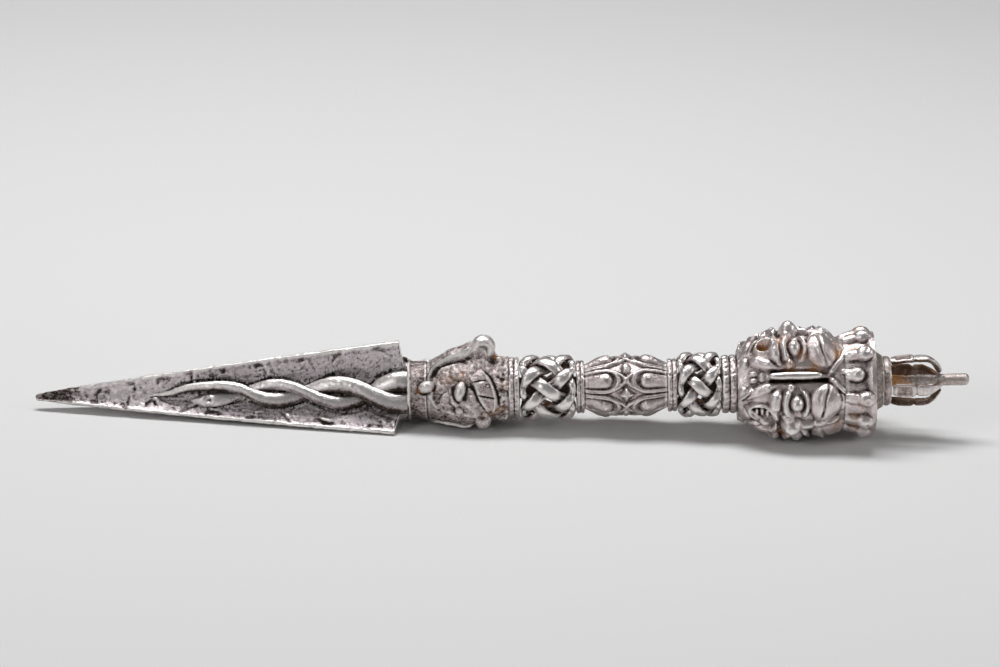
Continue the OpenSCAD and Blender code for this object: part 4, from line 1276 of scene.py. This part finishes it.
def vajra_prong(k):
    """The middle line rises, runs level and falls steeply. Below the waist the prong is a framed panel, and
    above it a plain leaf that tapers to the neck. Also how worn it is: less in the panel, and darker on the
    inner side, which is painted shade."""
    node = f"vajra_prong_{k + 1}"
    low, high = span(node)
    s = np.linspace(0, 1, 200)
    bow = np.convolve(np.pad(np.interp(s, BOW_MARKS, BOW_LEVELS), 8, "edge"), np.ones(17) / 17, "valid")
    r = 1.5 + (reach(node) - 2.1) * bow
    below = s < PRONG_WAIST
    part = np.where(below, s / PRONG_WAIST, (s - PRONG_WAIST) / (1 - PRONG_WAIST))
    panel_w = 1.0 + 0.4 * ease(part / 0.25) - 0.3 * ease((part - 0.85) / 0.15)
    leaf_w = np.interp(part, [0, 0.15, 0.4, 0.7, 0.86, 0.93, 1], [0.95, 1.2, 1.2, 0.75, 0.45, 0.62, 0.5])
    half_t = np.interp(s, [0, 0.2, 0.8, 0.95, 1], [0.6, 0.56, 0.5, 0.6, 0.45])
    path = at(r, 90.0 * k, low + (high - low) * (0.01 + 0.97 * s))
    out = toward(np.full(len(s), 90.0 * k))
    grid = swept(path, out, np.where(below, panel_w, leaf_w), half_t, PRONG_AROUND, 0.7)
    a = circle(PRONG_AROUND)[None]
    panel = ease((part - 0.16) / 0.1) * ease((0.86 - part) / 0.1) * below
    inset = np.exp(-((np.cos(a) / 0.62) ** 8)) * (np.sin(a) > 0) * panel[:, None]
    nick = bell(s - PRONG_WAIST, 0.025)[:, None] * (np.sin(a) > 0)
    grid = raised_by(grid, False, -(0.25 * inset + 0.2 * nick))
    # The inner side, which faces the spindle, is darkened as painted shade; the panel's inset is patina.
    return grid, polish_and_flank_shade(PRONG_AROUND, -1.6, 0.45) - 0.7 * inset


for k in range(4):
    node = f"vajra_prong_{k + 1}"
    grid, worn = vajra_prong(k)
    piece(node + "_leaf", grid, node, "finial", False, (0.04, 0.7, 93 + k), 6, 0.15, worn, amber=0.12)

# %% The spindle in the cage, and its plain tip
low, high = span("finial_spindle")
cage_low, TIP_L, TIP_R = span("vajra_prong_1")[0] - 0.1, 5.0, tip_mount["dims"]["r_mm"]
cage_l = high - TIP_L - cage_low
cage_top = cage_low + cage_l
marks = [0, 0.02, 0.12, 0.3, 0.42, 0.58, 0.72, 0.85, 0.93, 1.0]
levels = [1.0, 1.1, 1.15, 0.92, 1.0, 1.05, 0.9, 0.95, 1.3, 1.15]
s = np.linspace(0, 1, 120)
a = np.radians(np.linspace(0, 88, 16))
tip_u = high - TIP_R * 0.7 + TIP_R * 0.7 * np.sin(a)
rod_u = np.linspace(cage_top + 0.1, tip_u[0] - 0.1, 40)
u = np.concatenate([[low + 0.05, cage_low - 0.1], cage_low + cage_l * s, rod_u, tip_u])
r = [[0.74, 0.74], np.interp(s, marks, levels), np.full(40, TIP_R), TIP_R * np.cos(a) ** 0.8]
grid = at(np.concatenate(r)[:, None] - 0.01, turns(72)[None], u[:, None])
rough = (ease((u - cage_low) / 0.5) * (1 - ease((u - cage_low - cage_l) / 0.6)))[:, None]
lumps = np.minimum(grain(grid, 0.8, 97) + 0.5 * grain(grid, 0.4, 98), 0.6) * rough
grid = raised_by(grid, False, 0.13 * lumps)
gold = (np.clip(1.5 - (u - cage_low) / 3.2, 0, 1) * (u < cage_top))[:, None]
look = {"skin": (0.02, 0.7, 99), "passes": 10, "amber": gold}
piece("finial_spindle_turned", grid, "finial_spindle", "finial_spindle", False, **look)

# %% [markdown]
# ## Who wears which metal
#
# Each piece wears its slot's metal, but the crown's cap has its own dull one. The core rod's CAD solid is
# already its true shape, so it stays and only gets a tarnished finish.

# %% Materials on pieces
for obj in made:
    obj.data.materials.append(METALS["cap" if obj.name.startswith("crown_cap") else obj["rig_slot"]])
rod = frame["nodes"]["core_rod"]
rod.data.materials.clear()
rod.data.materials.append(METALS["core"])
print("dressed", len(made), "pieces")

# %% [markdown]
# ## Floor, light and camera
#
# A pale floor, a large soft lamp overhead and two weaker ones give metal something to mirror: bright tops,
# grey sides and a pale underside. The camera stands where the photographer's did, a little above the table
# and far away, so that the dagger hardly shows any perspective.

# %% The floor
FLOOR_HALF = 3.0
floor_mesh = bpy.data.meshes.new("floor")
floor_corners = [(FLOOR_HALF * x, FLOOR_HALF * y, 0) for x, y in ((-1, -1), (1, -1), (1, 1), (-1, 1))]
floor_mesh.from_pydata(floor_corners, [], [(0, 1, 2, 3)])
pale = {"Base Color": (0.78, 0.78, 0.78, 1), "Roughness": 0.9}
floor_mesh.materials.append(Finish("pale_floor").shine(pale))
floor = bpy.data.objects.new("floor", floor_mesh)
bpy.context.scene.collection.objects.link(floor)


# %% The lamps
def stand(obj, right, up, back, place):
    """Puts a lamp or camera at a place. It looks against back, and right and up are its picture's."""
    rows = [[*row, p] for row, p in zip(np.stack([right, up, back], 1), place)]
    obj.matrix_world = Matrix(rows + [[0, 0, 0, 1]])
    bpy.context.scene.collection.objects.link(obj)


def lamp(name, place, aim, size, watts):
    """A soft lamp with an oblong face that looks at a point."""
    data = bpy.data.lights.new(name, "AREA")
    data.shape, data.size, data.size_y, data.energy = "RECTANGLE", size[0], size[1], watts
    back = np.array(place, float) - np.array(aim, float)
    back /= np.linalg.norm(back)
    right = np.cross([0, 1, 0.01], back)
    right /= np.linalg.norm(right)
    stand(bpy.data.objects.new(name, data), right, np.cross(back, right), back, place)


lamp("overhead", (-0.05, 0.14, 0.55), (0, 0, 0), (0.45, 0.17), 2.6)
lamp("front_left", (-0.55, -0.45, 0.35), (0, 0, 0), (0.25, 0.25), 0.8)
lamp("right", (0.6, -0.1, 0.3), (0.05, 0, 0), (0.15, 0.25), 0.5)
world = bpy.data.worlds.new("studio")
bpy.context.scene.world = world
world.use_nodes = True
world.node_tree.nodes["Background"].inputs["Color"].default_value = (1, 1, 1, 1)
world.node_tree.nodes["Background"].inputs["Strength"].default_value = 0.17
bpy.context.scene.view_settings.view_transform = "Standard"

# %% The camera
ELEVATION, AZIMUTH, ROLL = np.radians(20.5), np.radians(-0.425), np.radians(1.86)
DISTANCE, TARGET = 0.7, np.array([-0.00066, 0, 0.0182])
FOCAL_PX, IMAGE_W, SENSOR = 3650.0, 1000.0, 36.0
level = np.cos(ELEVATION)
back = np.array([np.sin(AZIMUTH) * level, -np.cos(AZIMUTH) * level, np.sin(ELEVATION)])
right = np.array([np.cos(AZIMUTH), np.sin(AZIMUTH), 0])
up = np.cross(back, right)
right, up = right * np.cos(ROLL) + up * np.sin(ROLL), up * np.cos(ROLL) - right * np.sin(ROLL)
camera_data = bpy.data.cameras.new("camera")
camera_data.sensor_width = SENSOR
camera_data.lens = FOCAL_PX / IMAGE_W * SENSOR
camera_data.clip_start, camera_data.clip_end = 0.05, 20
camera = bpy.data.objects.new("camera", camera_data)
stand(camera, right, up, back, TARGET + back * DISTANCE)
bpy.context.scene.camera = camera

# %% Sizes
bpy.context.view_layer.update()
print("CAD box", [round(x / MM, 2) for c in cad_box for x in c])
